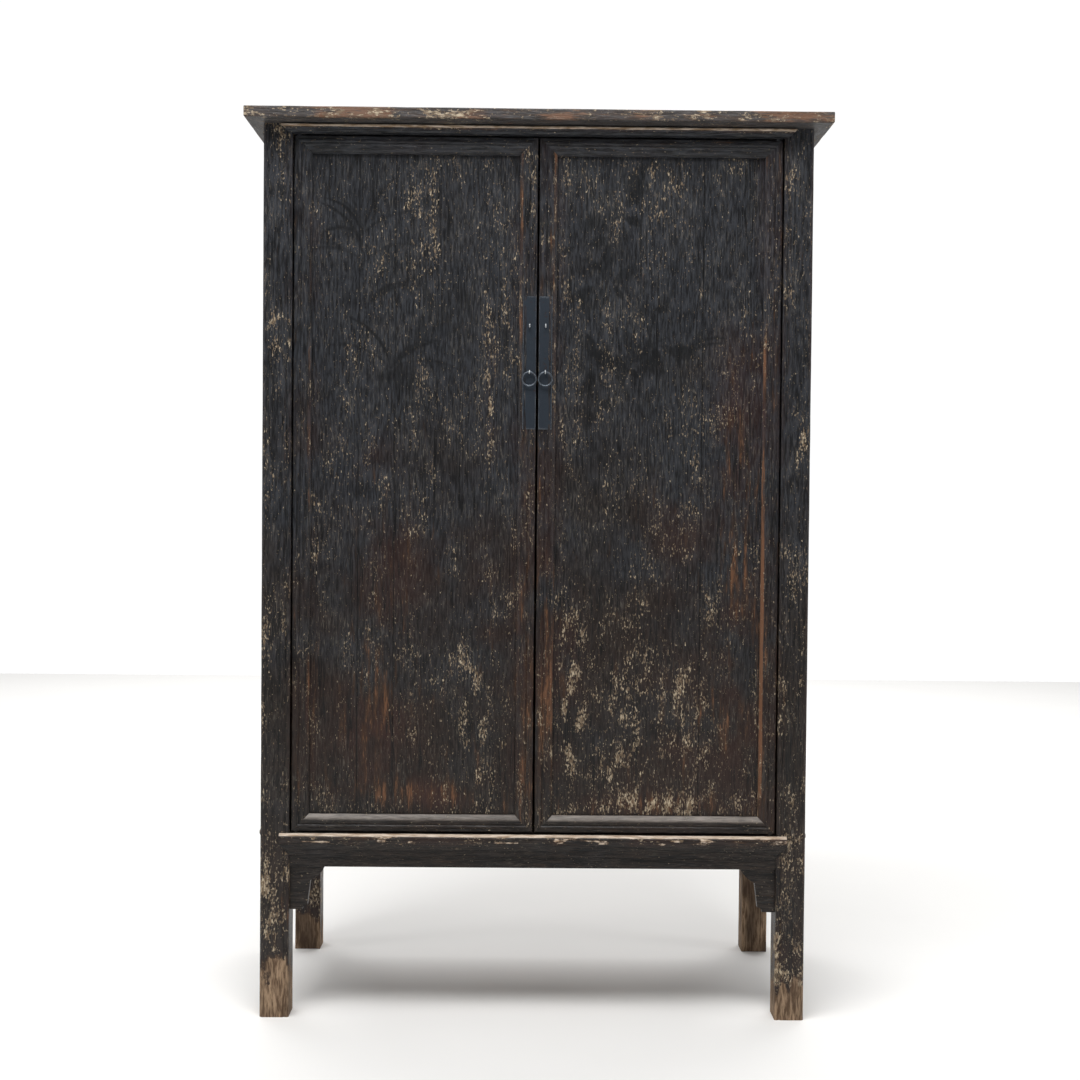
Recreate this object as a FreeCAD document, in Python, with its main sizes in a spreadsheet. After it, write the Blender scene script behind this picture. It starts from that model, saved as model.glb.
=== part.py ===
import FreeCAD, Part
import math
import os
import re
import Sketcher

# A lacquered two-door cabinet on straight legs. Millimetres, +X to the right seen from the front,
# -Y to the front, +Z up, with the origin on the floor under the middle of the cap.

Vector = FreeCAD.Vector
Rotation = FreeCAD.Rotation
doc = FreeCAD.newDocument("Armoire")

sizes = (
    ("whole_high", 1850, "floor to the top of the cap"),
    ("case_wide", 1118, "outer faces of the posts, left to right"),
    ("case_deep", 550, "outer faces of the posts, front to back"),
    ("post_side", 60, "square posts that run down into the legs"),
    ("post_round", 6, "worn outer corner of a post"),
    ("post_bead_wide", 9, "bead along the inner edge of a post"),
    ("post_bead_rise", 1.8, "height of that bead above its seat"),
    ("post_quirk_wide", 2.5, "groove beside the bead"),
    ("post_quirk_deep", 2.6, "depth of that groove"),
    ("post_tenon_side", 30, "square tenon on top of a post"),
    ("post_tenon_long", 15, "how far it stands into the cap"),
    ("cap_overhang", 34, "cap beyond the posts on every side"),
    ("cap_thick", 27, "frame of the cap"),
    ("cap_fascia_high", 22, "upright edge of the cap"),
    ("cap_arris", 2, "rounding of its top edge"),
    ("cap_under_reach", 30, "how far in the rounded underside runs"),
    ("cap_under_radius", 100, "rounding of the underside"),
    ("cap_frame_wide", 95, "width of a member of the cap's frame"),
    ("top_panel_drop", 1, "top panel below the frame's face"),
    ("top_tongue_low", 13, "underside of the top panel above the frame's underside"),
    ("tongue_thick", 6, "tongues of the top and door panels"),
    ("groove_deep", 8, "grooves that hold the panels"),
    ("joint_gap", 0.2, "room left at the ends of tongues and round pins in wood"),
    ("rail_deep", 45, "rails behind the post faces"),
    ("rail_proud", 11, "mouldings in front of the post faces"),
    ("rail_tenon_long", 28, "tenons of the rails in the posts"),
    ("rail_tenon_thick", 20, "thickness of those tenons"),
    ("rail_tenon_in", 7, "tenon behind the post face"),
    ("rail_tenon_shoulder", 3, "wood above or below a tenon"),
    ("head_high", 20, "head rails"),
    ("head_lap", 23, "front head moulding over the posts"),
    ("head_end_cut", 18, "slanting end of the head moulding"),
    ("head_end_rise", 15, "height of that slant"),
    ("head_nose", 6, "round nose of the head moulding"),
    ("head_cove", 9, "hollow under the nose"),
    ("base_low", 334, "underside of the base rails above the floor"),
    ("base_high", 46, "base rails"),
    ("base_lap", 20, "front base moulding over the posts"),
    ("base_end_cut", 19.5, "slanting end of the base moulding"),
    ("base_end_rise", 23, "height of that slant"),
    ("base_nose_top", 10, "upper rounding of the base moulding"),
    ("base_nose_low", 13, "lower rounding of the base moulding"),
    ("base_torus_high", 22, "round part of the base moulding"),
    ("base_neck_in", 5, "neck under the round part, behind its front"),
    ("base_neck_high", 1.5, "height of the neck"),
    ("base_cove", 26, "hollow under the neck"),
    ("panel_thick", 12, "side and back panels"),
    ("panel_recess", 10, "side and back panels behind the post faces"),
    ("floor_thick", 15, "floor panel"),
    ("floor_lift", 18, "floor panel above the base rails' underside"),
    ("floor_batten_wide", 40, "battens under the floor"),
    ("top_batten_wide", 50, "battens under the top panel"),
    ("top_batten_apart", 560, "middle to middle of the two battens under the top or the floor"),
    ("batten_tenon_long", 10, "tenons of the battens"),
    ("back_batten_high", 40, "battens across the back panel"),
    ("back_batten_thick", 18, "thickness of those battens"),
    ("back_batten_low", 640, "middle of the lower back batten above the floor"),
    ("back_batten_down", 263, "middle of the upper back batten below the underside of the cap"),
    ("shelf_thick", 18, "shelves"),
    ("shelf_low", 850, "top of the lower shelf above the floor"),
    ("shelf_top", 1320, "top of the upper shelf above the floor"),
    ("shelf_set_back", 50, "front edge of the shelves behind the post faces"),
    ("bearer_high", 30, "bearers under the shelves"),
    ("bearer_thick", 22, "thickness of the bearers"),
    ("bearer_tenon_long", 15, "tenons of the bearers"),
    ("apron_high", 24, "aprons under the base rails"),
    ("apron_thick", 15, "thickness of the aprons"),
    ("apron_set_back", 5, "aprons behind the post faces"),
    ("apron_housed", 8, "aprons let into the posts"),
    ("spandrel_wide", 72, "spandrel along the apron"),
    ("spandrel_high", 90, "spandrel down the post"),
    ("spandrel_shoulder_wide", 42, "spandrel at the foot of its curve"),
    ("spandrel_shoulder_down", 30, "foot of its curve below the apron"),
    ("spandrel_toe_wide", 36, "spandrel just above its rounded toe"),
    ("spandrel_toe_radius", 10, "rounded toe"),
    ("spandrel_curve", 60, "radius of the curve under the apron"),
    ("spandrel_thick", 14, "thickness of a spandrel"),
    ("spandrel_set_back", 13, "spandrels behind the post faces"),
    ("spandrel_housed", 6, "spandrels let into the posts"),
    ("door_gap_side", 2, "door to post"),
    ("door_gap_end", 1.5, "door to rail, above and below"),
    ("door_gap_meeting", 3, "door to door"),
    ("door_set_back", 2, "doors behind the post faces"),
    ("door_thick", 30, "doors over their mouldings"),
    ("door_frame_wide", 37, "members of a door's frame"),
    ("door_arris", 4, "rounded outer edge of a door"),
    ("door_band_wide", 9, "flat band at a door's edge"),
    ("door_band_sunk", 2.5, "that band behind the door's front"),
    ("door_bead_wide", 6, "small bead beside the band"),
    ("door_bead_radius", 3.6, "rounding of that bead"),
    ("door_quirk_wide", 1.5, "groove between the bead and the swell"),
    ("door_quirk_deep", 1.5, "depth of that groove"),
    ("door_swell_radius", 14, "swelling moulding round a door panel"),
    ("door_swell_edge", 1, "flat between the swell and the panel"),
    ("door_lip_sunk", 8, "inner edge of the swell behind the door's front"),
    ("door_tongue_low", 12, "tongue of a door panel above the door's back"),
    ("door_panel_back", 8, "back of a door panel above the door's back"),
    ("door_block_wide", 24, "stile's block in a corner of the door"),
    ("door_block_high", 30, "height of that block"),
    ("door_block_thick", 22, "thickness of that block"),
    ("door_batten_high", 44, "battens on a door's back"),
    ("door_batten_shoulder", 7, "wood above and below a door batten's tenon"),
    ("pivot_in", 10, "pivot behind the door's face and in from its edge"),
    ("pivot_radius", 7, "wooden pivots in one piece with the outer stiles"),
    ("pivot_gap", 0.1, "running room round a pivot"),
    ("pivot_low_long", 15, "lower pivot"),
    ("pivot_top_long", 12, "upper pivot"),
    ("pivot_end_gap", 0.3, "room beyond the end of a pivot"),
    ("stop_high", 8, "door stops on the rails"),
    ("stop_thick", 10, "thickness of the stops"),
    ("stop_gap", 1, "door to stop"),
    ("stop_short", 42, "stops end this far short of the posts"),
    ("plate_wide", 27, "iron face plates"),
    ("plate_high", 270, "height of the plates"),
    ("plate_thick", 1.6, "thickness of the plates"),
    ("plate_down", 322.5, "upper end of the plates below the door's top"),
    ("plate_edge", 1.4, "plate in from the door's edge"),
    ("fitting_in", 14.8, "staples and eyes in from the door's edge"),
    ("staple_up", 210, "lock staple above the plate's lower end"),
    ("eye_up", 116, "ring eye above the plate's lower end"),
    ("eye_loop", 3.3, "loops of the staples and eyes, to the middle of the wire"),
    ("wire_radius", 1.4, "their wire"),
    ("clench_long", 9, "wire ends bent over behind the door"),
    ("ring_radius", 13.9, "pull ring, to the middle of its bar"),
    ("ring_bar", 1.6, "radius of the ring's bar"),
)

# each worked out from the sizes, and from the places above it
places = (
    ("half_wide", "case_wide / 2"),
    ("half_deep", "case_deep / 2"),
    ("cap_x", "half_wide + cap_overhang"),
    ("cap_y", "half_deep + cap_overhang"),
    ("cap_inner_x", "cap_x - cap_frame_wide"),
    ("cap_inner_y", "cap_y - cap_frame_wide"),
    ("post_x", "half_wide - post_side"),
    ("post_y", "half_deep - post_side"),
    ("rail_x", "half_wide - rail_deep"),
    ("rail_y", "half_deep - rail_deep"),
    ("case_top", "whole_high - cap_thick"),
    ("head_low", "case_top - head_high"),
    ("base_top", "base_low + base_high"),
    ("floor_under", "base_low + floor_lift"),
    ("panel_out_x", "half_wide - panel_recess"),
    ("panel_in_x", "panel_out_x - panel_thick"),
    ("panel_out_y", "half_deep - panel_recess"),
    ("panel_in_y", "panel_out_y - panel_thick"),
    ("back_batten_top", "case_top - back_batten_down"),
    ("door_front", "-half_deep + door_set_back"),
    ("door_back", "door_front + door_thick"),
    ("door_low", "base_top + door_gap_end"),
    ("door_top", "head_low - door_gap_end"),
    ("door_band_level", "door_thick - door_band_sunk"),
    ("door_lip_level", "door_thick - door_lip_sunk"),
    ("door_outer", "post_x - door_gap_side"),
    ("door_inner", "door_gap_meeting / 2"),
    ("door_wide", "door_outer - door_inner"),
    ("door_high", "door_top - door_low"),
    ("pivot_x", "door_outer - pivot_in"),
    ("pivot_y", "door_front + pivot_in"),
    ("stop_y", "door_back + stop_gap"),
    ("plate_back", "door_back - door_band_level"),
    ("plate_front", "plate_back - plate_thick"),
    ("fitting_x", "door_inner + fitting_in"),
    ("eye_y", "plate_front - eye_loop - wire_radius"),
    ("plate_low", "door_top - plate_down - plate_high"),
    ("eye_z", "plate_low + eye_up"),
    ("staple_z", "plate_low + staple_up"),
    ("apron_low", "base_low - apron_high"),
    ("spandrel_low", "apron_low - spandrel_high"),
)

sheet = doc.addObject("Spreadsheet::Sheet", "Sizes")
for row, (alias, size, note) in enumerate(sizes, start=1):
    sheet.set(f"A{row}", alias)
    sheet.set(f"B{row}", str(size))
    sheet.set(f"C{row}", note)
    sheet.setAlias(f"B{row}", alias)
doc.recompute()

size_names = {alias for alias, size, note in sizes}
place_names = {name for name, rule in places}


def formula(text):
    """A rule with each bare name written as the sheet's or the places' own."""

    def full(match):
        word = match.group(0)
        if word in size_names:
            return "Sizes." + word
        if word in place_names:
            return "Places." + word
        return word

    return re.sub(r"[a-z][a-z_]*", full, str(text))


def bind(item, what, text):
    item.setExpression(what, formula(text))


def number(text):
    return float(sheet.evalExpression(formula(text)))


worked_out = doc.addObject("App::VarSet", "Places")
for name, rule in places:
    worked_out.addProperty("App::PropertyFloat", name, "Places")
    bind(worked_out, name, rule)
doc.recompute()


def span(side, near, far):
    """From near to far on the + side, or its mirror image on the - side."""
    return (near, far) if side > 0 else (f"-({far})", f"-({near})")


def both(far):
    """From -far to far."""
    return f"-({far})", far


def block(name, x, y, z):
    """A box between two places along each axis."""
    item = doc.addObject("Part::Box", name)
    for size, axis, (low, high) in (("Length", "x", x), ("Width", "y", y), ("Height", "z", z)):
        bind(item, size, f"({high}) - ({low})")
        bind(item, "Placement.Base." + axis, low)
    return item


def seat(item, turn, at):
    """Turns an object and puts its origin at a place."""
    item.Placement = FreeCAD.Placement(Vector(), turn)
    for axis, place in zip("xyz", at):
        bind(item, "Placement.Base." + axis, place)
    return item


along = {
    "x": Rotation(Vector(0, 1, 0), 90),
    "y": Rotation(Vector(1, 0, 0), -90),
    "z": Rotation(),
}


def rod(name, axis, radius, start, long):
    """A round bar that runs from start along an axis."""
    item = doc.addObject("Part::Cylinder", name)
    bind(item, "Radius", radius)
    bind(item, "Height", long)
    return seat(item, along[axis], start)


def loop(name, axis, radius, bar, middle):
    """A closed ring of round bar about an axis."""
    item = doc.addObject("Part::Torus", name)
    bind(item, "Radius1", radius)
    bind(item, "Radius2", bar)
    return seat(item, along[axis], middle)


def join(name, pieces):
    item = doc.addObject("Part::MultiFuse", name)
    item.Shapes = pieces
    item.Refine = True
    return item


def cut(name, base, tools):
    item = doc.addObject("Part::Cut", name)
    item.Base = base
    item.Tool = tools[0] if len(tools) == 1 else join(name + "_away", tools)
    item.Refine = True
    return item


def common(name, base, tool):
    item = doc.addObject("Part::Common", name)
    item.Base = base
    item.Tool = tool
    item.Refine = True
    return item


def arc_middle(start, end, radius):
    """The middle of an arc that bulges to the left of the way, or to the right for a negative radius."""
    chord = end - start
    half = chord.Length / 2
    rise = abs(radius) - math.sqrt(max(radius**2 - half**2, 0))
    left = Vector(-chord.y, chord.x, 0).normalize()
    return (start + end) * 0.5 + left * math.copysign(rise, radius)


def outline(body, role, corners):
    """A closed sketch through the corners. A third entry is the radius of the arc to the next corner."""
    sketch = body.newObject("Sketcher::SketchObject", body.Name + "_outline")
    plane = next(item for item in body.Origin.OriginFeatures if item.Role == role)
    sketch.AttachmentSupport = (plane, [""])
    sketch.MapMode = "FlatFace"
    points = [Vector(number(corner[0]), number(corner[1]), 0) for corner in corners]
    first_ends = []
    for index, corner in enumerate(corners):
        start = points[index]
        end = points[(index + 1) % len(points)]
        if len(corner) == 3:
            radius = number(corner[2])
            sketch.addGeometry(Part.Arc(start, arc_middle(start, end, radius), end))
            # a sketch counts an arc's ends anticlockwise, whichever way it was drawn
            first_ends.append(2 if radius > 0 else 1)
        else:
            sketch.addGeometry(Part.LineSegment(start, end))
            first_ends.append(1)
    for index, corner in enumerate(corners):
        following = (index + 1) % len(corners)
        last_end = 3 - first_ends[index]
        sketch.addConstraint(
            Sketcher.Constraint("Coincident", index, last_end, following, first_ends[following])
        )
        for kind, axis, rule in (("DistanceX", "x", corner[0]), ("DistanceY", "y", corner[1])):
            constraint = Sketcher.Constraint(kind, -1, 1, index, first_ends[index], number(rule))
            name = f"{axis}{index}"
            sketch.renameConstraint(sketch.addConstraint(constraint), name)
            bind(sketch, "Constraints." + name, rule)
        if len(corner) == 3:
            rule = f"abs({corner[2]})"
            constraint = Sketcher.Constraint("Radius", index, number(rule))
            name = f"bend{index}"
            sketch.renameConstraint(sketch.addConstraint(constraint), name)
            bind(sketch, "Constraints." + name, rule)
    return sketch


def extrusion(name, role, corners, long, turn, at, middle=False):
    """A body with one outline, drawn out square to its plane."""
    body = doc.addObject("PartDesign::Body", name)
    pad = body.newObject("PartDesign::Pad", name + "_pad")
    pad.Profile = outline(body, role, corners)
    bind(pad, "Length", long)
    pad.Midplane = middle
    return seat(body, turn, at)


def wedge(name, long, wide, thick, turn, at):
    """A bar whose two ends are mitred at 45 degrees towards its inner edge."""
    item = doc.addObject("Part::Wedge", name)
    rules = {
        "Xmin": "0",
        "Xmax": long,
        "Ymin": "0",
        "Ymax": wide,
        "Zmin": "0",
        "Zmax": thick,
        "X2min": wide,
        "X2max": f"{long} - {wide}",
        "Z2min": "0",
        "Z2max": thick,
    }
    for what, rule in rules.items():
        bind(item, what, rule)
    return seat(item, turn, at)


def mitred(name, corners, long, wide, thick, turn, at):
    """A moulding along local x, its outer edge on y = 0, with mitred ends."""
    moulding = extrusion(name + "_moulding", "YZ_Plane", corners, long, turn, at)
    return common(name + "_mitred", moulding, wedge(name + "_ends", long, wide, thick, turn, at))


def axes(x, y):
    """The turn that sends local x and y along these directions."""
    across = Vector(*x)
    inward = Vector(*y)
    return Rotation(across, inward, across.cross(inward), "XYZ")


nodes = {}


def finish(name, item):
    """Names a finished sub-part."""
    item.Label = name
    nodes[name] = item


# members that go round the case, each seen from outside: which way they run and which way is inward
ways = {
    "front": axes((1, 0, 0), (0, 1, 0)),
    "right": axes((0, 1, 0), (-1, 0, 0)),
    "back": axes((-1, 0, 0), (0, -1, 0)),
    "left": axes((0, -1, 0), (1, 0, 0)),
}
sides = {"left": -1, "right": 1}
ends = {"front": -1, "back": 1}


def corner_start(way, x, y):
    """Where a member of a frame of half sizes x and y starts."""
    starts = {
        "front": (f"-({x})", f"-({y})"),
        "right": (x, f"-({y})"),
        "back": (x, y),
        "left": (f"-({x})", y),
    }
    return starts[way]


# blocks and bars that go into the posts, by the corner of the case
post_cuts = {(end, side): [] for end in ends for side in sides}


def tenons(name, way, low, high, long, from_face, thick):
    """The two tenons of a member between two posts, noted as mortises in those posts."""
    made = []
    for far in (-1, 1):
        if way in ends:
            x = span(far, "post_x", f"post_x + {long}")
            y = span(ends[way], f"half_deep - {from_face} - {thick}", f"half_deep - {from_face}")
            corner = (way, "left" if far < 0 else "right")
        else:
            x = span(sides[way], f"half_wide - {from_face} - {thick}", f"half_wide - {from_face}")
            y = span(far, "post_y", f"post_y + {long}")
            corner = ("front" if far < 0 else "back", way)
        tenon = block(name + "_tenon", x, y, (low, high))
        post_cuts[corner].append(tenon)
        made.append(tenon)
    return made


def between_posts(way, outer, inner):
    """The space between two posts from one depth behind their outer faces to another."""
    if way in ends:
        return both("post_x"), span(ends[way], f"half_deep - {inner}", f"half_deep - {outer}")
    return span(sides[way], f"half_wide - {inner}", f"half_wide - {outer}"), both("post_y")


# panels of the sides and the back, in grooves of the posts and rails
panel_grooves = {}
for side in sides:
    x = span(sides[side], "panel_in_x", "panel_out_x")
    z = ("base_top - groove_deep", "head_low + groove_deep")
    panel_grooves[side] = block(side + "_panel_groove", x, both("post_y + groove_deep"), z)
    finish(
        f"side_panel_{side}",
        block(
            side + "_panel_board",
            x,
            both("post_y + groove_deep - joint_gap"),
            (z[0], z[1] + " - joint_gap"),
        ),
    )
    for end in ends:
        post_cuts[end, side].append(panel_grooves[side])
panel_grooves["back"] = block(
    "back_panel_groove",
    both("post_x + groove_deep"),
    ("panel_in_y", "panel_out_y"),
    ("base_top - groove_deep", "head_low + groove_deep"),
)
finish(
    "back_panel",
    block(
        "back_panel_board",
        both("post_x + groove_deep - joint_gap"),
        ("panel_in_y", "panel_out_y"),
        ("base_top - groove_deep", "head_low + groove_deep - joint_gap"),
    ),
)
for side in sides:
    post_cuts["back", side].append(panel_grooves["back"])

# floor panel, notched round the posts, in a groove of the base rails
floor_z = ("floor_under", "floor_under + floor_thick")
floor_groove = block(
    "floor_groove", both("rail_x + groove_deep"), both("rail_y + groove_deep"), floor_z
)
floor_board = block(
    "floor_board",
    both("rail_x + groove_deep - joint_gap"),
    both("rail_y + groove_deep - joint_gap"),
    floor_z,
)
notches = []
for side in sides:
    for end in ends:
        notches.append(
            block(
                "floor_notch",
                span(sides[side], "post_x - joint_gap", "half_wide"),
                span(ends[end], "post_y - joint_gap", "half_deep"),
                floor_z,
            )
        )
finish("floor_panel", cut("floor_notched", floor_board, notches))

# battens under the floor, tenoned into the front and back base rails
floor_battens = []
for far in (-1, 1):
    middle = f"{far} * top_batten_apart / 2"
    x = (f"{middle} - floor_batten_wide / 2", f"{middle} + floor_batten_wide / 2")
    floor_battens.append(
        block(
            "floor_batten",
            x,
            both("rail_y + batten_tenon_long"),
            ("base_low + rail_tenon_shoulder", "floor_under"),
        )
    )
finish("floor_battens", join("floor_batten_pair", floor_battens))

# rails: the same mouldings on the front and the sides, and a plain face at the back
head_outline = (
    ("rail_proud", "0", "-head_cove"),
    ("head_nose", "head_high - 2 * head_nose", "head_nose"),
    ("0", "head_high - head_nose", "head_nose"),
    ("head_nose", "head_high"),
    ("rail_proud + rail_deep", "head_high"),
    ("rail_proud + rail_deep", "0"),
)
base_outline = (
    ("rail_proud", "0", "-base_cove"),
    ("base_neck_in", "base_high - base_torus_high - base_neck_high"),
    ("base_neck_in", "base_high - base_torus_high", "base_nose_low"),
    ("0", "base_high - base_nose_top", "base_nose_top"),
    ("base_nose_top", "base_high"),
    ("rail_proud + rail_deep", "base_high"),
    ("rail_proud + rail_deep", "0"),
)


def rail_ends(part, long):
    """The rail seen from outside, with its slanting ends."""
    return (
        (f"{part}_end_cut", "0"),
        ("0", f"{part}_end_rise"),
        ("0", f"{part}_high"),
        (long, f"{part}_high"),
        (long, f"{part}_end_rise"),
        (f"{long} - {part}_end_cut", "0"),
    )


def rail(part, way, corners, low, tenon_z, cuts, extras):
    """A rail between two posts. The front ones lap over their faces with their moulded part."""
    name = f"{part}_rail_{way}"
    x, y = between_posts(way, "0", "rail_deep")
    z = (low, f"{low} + {part}_high")
    if way == "back":
        body = block(name + "_plain", x, y, z)
    else:
        if way == "front":
            long = f"2 * (post_x + {part}_lap)"
            start = corner_start(way, f"post_x + {part}_lap", "half_deep + rail_proud")
        else:
            long = "2 * post_y"
            start = corner_start(way, "half_wide + rail_proud", "post_y")
        at = (*start, low)
        body = extrusion(name + "_moulding", "YZ_Plane", corners, long, ways[way], at)
        if way == "front":
            trim = extrusion(
                name + "_trim",
                "XZ_Plane",
                rail_ends(part, long),
                "3 * (rail_proud + rail_deep)",
                ways[way],
                at,
                middle=True,
            )
            body = common(name + "_lapped", body, trim)
            for far in (-1, 1):
                behind = (span(far, "post_x", "half_wide"), span(-1, "post_y", "half_deep"))
                cuts = [*cuts, block(name + "_behind", *behind, z)]
    made = tenons(name, way, *tenon_z, "rail_tenon_long", "rail_tenon_in", "rail_tenon_thick")
    shaped = cut(name + "_cut", body, cuts) if cuts else body
    finish(name, join(name + "_whole", [shaped, *made, *extras]))


pivot_holes = [
    rod(
        side + "_pivot_hole",
        "z",
        "pivot_radius + pivot_gap",
        (f"{sides[side]} * pivot_x", "pivot_y", "door_low - pivot_low_long - pivot_end_gap"),
        "door_high + pivot_low_long + pivot_top_long + 2 * pivot_end_gap",
    )
    for side in sides
]


def stop(name, z):
    """A strip behind the doors that they close against."""
    return block(name, both("post_x - stop_short"), ("stop_y", "stop_y + stop_thick"), z)


for way in ways:
    cuts = list(pivot_holes) if way == "front" else [panel_grooves[way]]
    head_tenon = ("head_low + groove_deep + joint_gap", "case_top - rail_tenon_shoulder")
    head_stop = [stop("head_stop", ("head_low - stop_high", "head_low"))] if way == "front" else []
    rail("head", way, head_outline, "head_low", head_tenon, cuts, head_stop)
    base_tenon = (
        "base_low + rail_tenon_shoulder",
        "base_top - groove_deep - joint_gap",
    )
    base_stop = [stop("base_stop", ("base_top", "base_top + stop_high"))] if way == "front" else []
    cuts = [*cuts, floor_groove]
    if way in ends:
        cuts = [*cuts, *floor_battens]
    rail("base", way, base_outline, "base_low", base_tenon, cuts, base_stop)

# aprons under the front and side base rails
for way in ("front", "left", "right"):
    x, y = between_posts(way, "apron_set_back", "(apron_set_back + apron_thick)")
    z = ("apron_low", "base_low")
    board = block(way + "_apron_board", x, y, z)
    housed = tenons(way + "_apron", way, *z, "apron_housed", "apron_set_back", "apron_thick")
    finish("apron_" + way, join(way + "_apron_whole", [board, *housed]))

# spandrels: local x away from the post, local y down from the apron
spandrel_outline = (
    ("0", "0"),
    ("0", "spandrel_high"),
    (
        "spandrel_toe_wide - spandrel_toe_radius",
        "spandrel_high",
        "-spandrel_toe_radius",
    ),
    ("spandrel_toe_wide", "spandrel_high - spandrel_toe_radius"),
    ("spandrel_shoulder_wide", "spandrel_shoulder_down", "spandrel_curve"),
    ("spandrel_wide", "0"),
)


def spandrels(way):
    """The two spandrels between two posts, left one first seen from outside."""
    housings = tenons(
        way + "_spandrel",
        way,
        "spandrel_low + spandrel_toe_radius",
        "apron_low - spandrel_toe_radius",
        "spandrel_housed",
        "spandrel_set_back",
        "spandrel_thick",
    )
    made = []
    for far, housing in zip((-1, 1), housings):
        # a spandrel is turned about, not mirrored, so its thickness runs the other way
        if way in ends:
            away = (-far, 0, 0)
            across = f"{far} * post_x"
            face = "-(half_deep - spandrel_set_back)"
            back = "-(half_deep - spandrel_set_back - spandrel_thick)"
            at = (across, back if far > 0 else face, "apron_low")
        else:
            away = (0, -far, 0)
            across = f"{far} * post_y"
            low, high = span(
                sides[way],
                "half_wide - spandrel_set_back - spandrel_thick",
                "half_wide - spandrel_set_back",
            )
            at = (low if far > 0 else high, across, "apron_low")
        turn = axes(away, (0, 0, -1))
        name = way + "_spandrel_board"
        board = extrusion(name, "XY_Plane", spandrel_outline, "spandrel_thick", turn, at)
        made.append(join(way + "_spandrel_whole", [board, housing]))
    return made


for side, whole in zip(("left", "right"), spandrels("front")):
    finish("spandrel_front_" + side, whole)
for side in sides:
    finish("spandrels_" + side, join(side + "_spandrel_pair", spandrels(side)))

# bearers between the posts hold the shelves and stiffen the side panels
shelf_tops = {"lower": "shelf_low", "upper": "shelf_top"}
for side in sides:
    made = []
    for top in shelf_tops.values():
        z = (f"{top} - shelf_thick - bearer_high", f"{top} - shelf_thick")
        inner = "(panel_recess + panel_thick + bearer_thick)"
        x, y = between_posts(side, "(panel_recess + panel_thick)", inner)
        made.append(block(side + "_bearer", x, y, z))
        from_face = "(panel_recess + panel_thick)"
        made += tenons(side + "_bearer", side, *z, "bearer_tenon_long", from_face, "bearer_thick")
    finish("shelf_bearers_" + side, join(side + "_bearer_pair", made))
for name, top in shelf_tops.items():
    z = (f"{top} - shelf_thick", top)
    deep = ("-half_deep + shelf_set_back", "panel_in_y - joint_gap")
    wide_part = block(name + "_shelf_board", both("post_x - joint_gap"), deep, z)
    x = both("panel_in_x - joint_gap")
    over_bearers = block(name + "_shelf_over", x, both("post_y - joint_gap"), z)
    finish("shelf_" + name, join(name + "_shelf_whole", [wide_part, over_bearers]))

# battens across the back panel
made = []
for middle in ("back_batten_low", "back_batten_top"):
    z = (f"{middle} - back_batten_high / 2", f"{middle} + back_batten_high / 2")
    y = ("panel_in_y - back_batten_thick", "panel_in_y")
    batten = block("back_batten", both("post_x + batten_tenon_long"), y, z)
    made.append(batten)
    for side in sides:
        post_cuts["back", side].append(batten)
finish("back_battens", join("back_batten_pair", made))

# posts, with the same outline at all four corners
bead_radius = "(post_bead_wide ^ 2 / 4 + post_bead_rise ^ 2) / (2 * post_bead_rise)"
quirk_start = "post_side - post_bead_wide - post_quirk_wide"
post_outline = (
    ("0", "post_round"),
    ("0", quirk_start),
    ("post_quirk_deep", "post_side - post_bead_wide - post_quirk_wide / 2"),
    ("post_bead_rise", "post_side - post_bead_wide", bead_radius),
    ("post_bead_rise", "post_side"),
    ("post_side", "post_side"),
    ("post_side", "post_bead_rise", bead_radius),
    ("post_side - post_bead_wide", "post_bead_rise"),
    ("post_side - post_bead_wide - post_quirk_wide / 2", "post_quirk_deep"),
    (quirk_start, "0"),
    ("post_round", "0", "post_round"),
)
corner_ways = {
    ("front", "left"): "front",
    ("front", "right"): "right",
    ("back", "right"): "back",
    ("back", "left"): "left",
}
tenon_out = "(post_side - post_tenon_side) / 2"
post_tenons = []
for (end, side), way in corner_ways.items():
    name = f"post_{end}_{side}"
    at = (*corner_start(way, "half_wide", "half_deep"), "0")
    body = extrusion(name + "_shaft", "XY_Plane", post_outline, "case_top", ways[way], at)
    tenon = block(
        name + "_tenon",
        span(sides[side], f"post_x + {tenon_out}", f"half_wide - {tenon_out}"),
        span(ends[end], f"post_y + {tenon_out}", f"half_deep - {tenon_out}"),
        ("case_top", "case_top + post_tenon_long"),
    )
    post_tenons.append(tenon)
    mortised = cut(name + "_mortised", body, post_cuts[end, side])
    finish(name, join(name + "_whole", [mortised, tenon]))

# cap: a mitred frame with a panel in its groove and two battens under it
cap_outline = (
    ("0", "cap_thick - cap_fascia_high"),
    ("0", "cap_thick - cap_arris", "cap_arris"),
    ("cap_arris", "cap_thick"),
    ("cap_frame_wide", "cap_thick"),
    ("cap_frame_wide", "0"),
    ("cap_under_reach", "0", "cap_under_radius"),
)
tongue_z = ("case_top + top_tongue_low", "case_top + top_tongue_low + tongue_thick")
top_groove = block(
    "top_groove", both("cap_inner_x + groove_deep"), both("cap_inner_y + groove_deep"), tongue_z
)
top_battens = []
for far in (-1, 1):
    middle = f"{far} * top_batten_apart / 2"
    x = (f"{middle} - top_batten_wide / 2", f"{middle} + top_batten_wide / 2")
    y = both("cap_inner_y + batten_tenon_long")
    top_battens.append(block("top_batten", x, y, ("case_top", tongue_z[0])))
finish("top_battens", join("top_batten_pair", top_battens))
for way, turn in ways.items():
    name = "top_frame_" + way
    long = "2 * cap_x" if way in ends else "2 * cap_y"
    at = (*corner_start(way, "cap_x", "cap_y"), "case_top")
    member = mitred(name, cap_outline, long, "cap_frame_wide", "cap_thick", turn, at)
    tools = [top_groove, *post_tenons]
    if way in ends:
        tools += top_battens
    finish(name, cut(name + "_cut", member, tools))
reach = "groove_deep - joint_gap"
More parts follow.
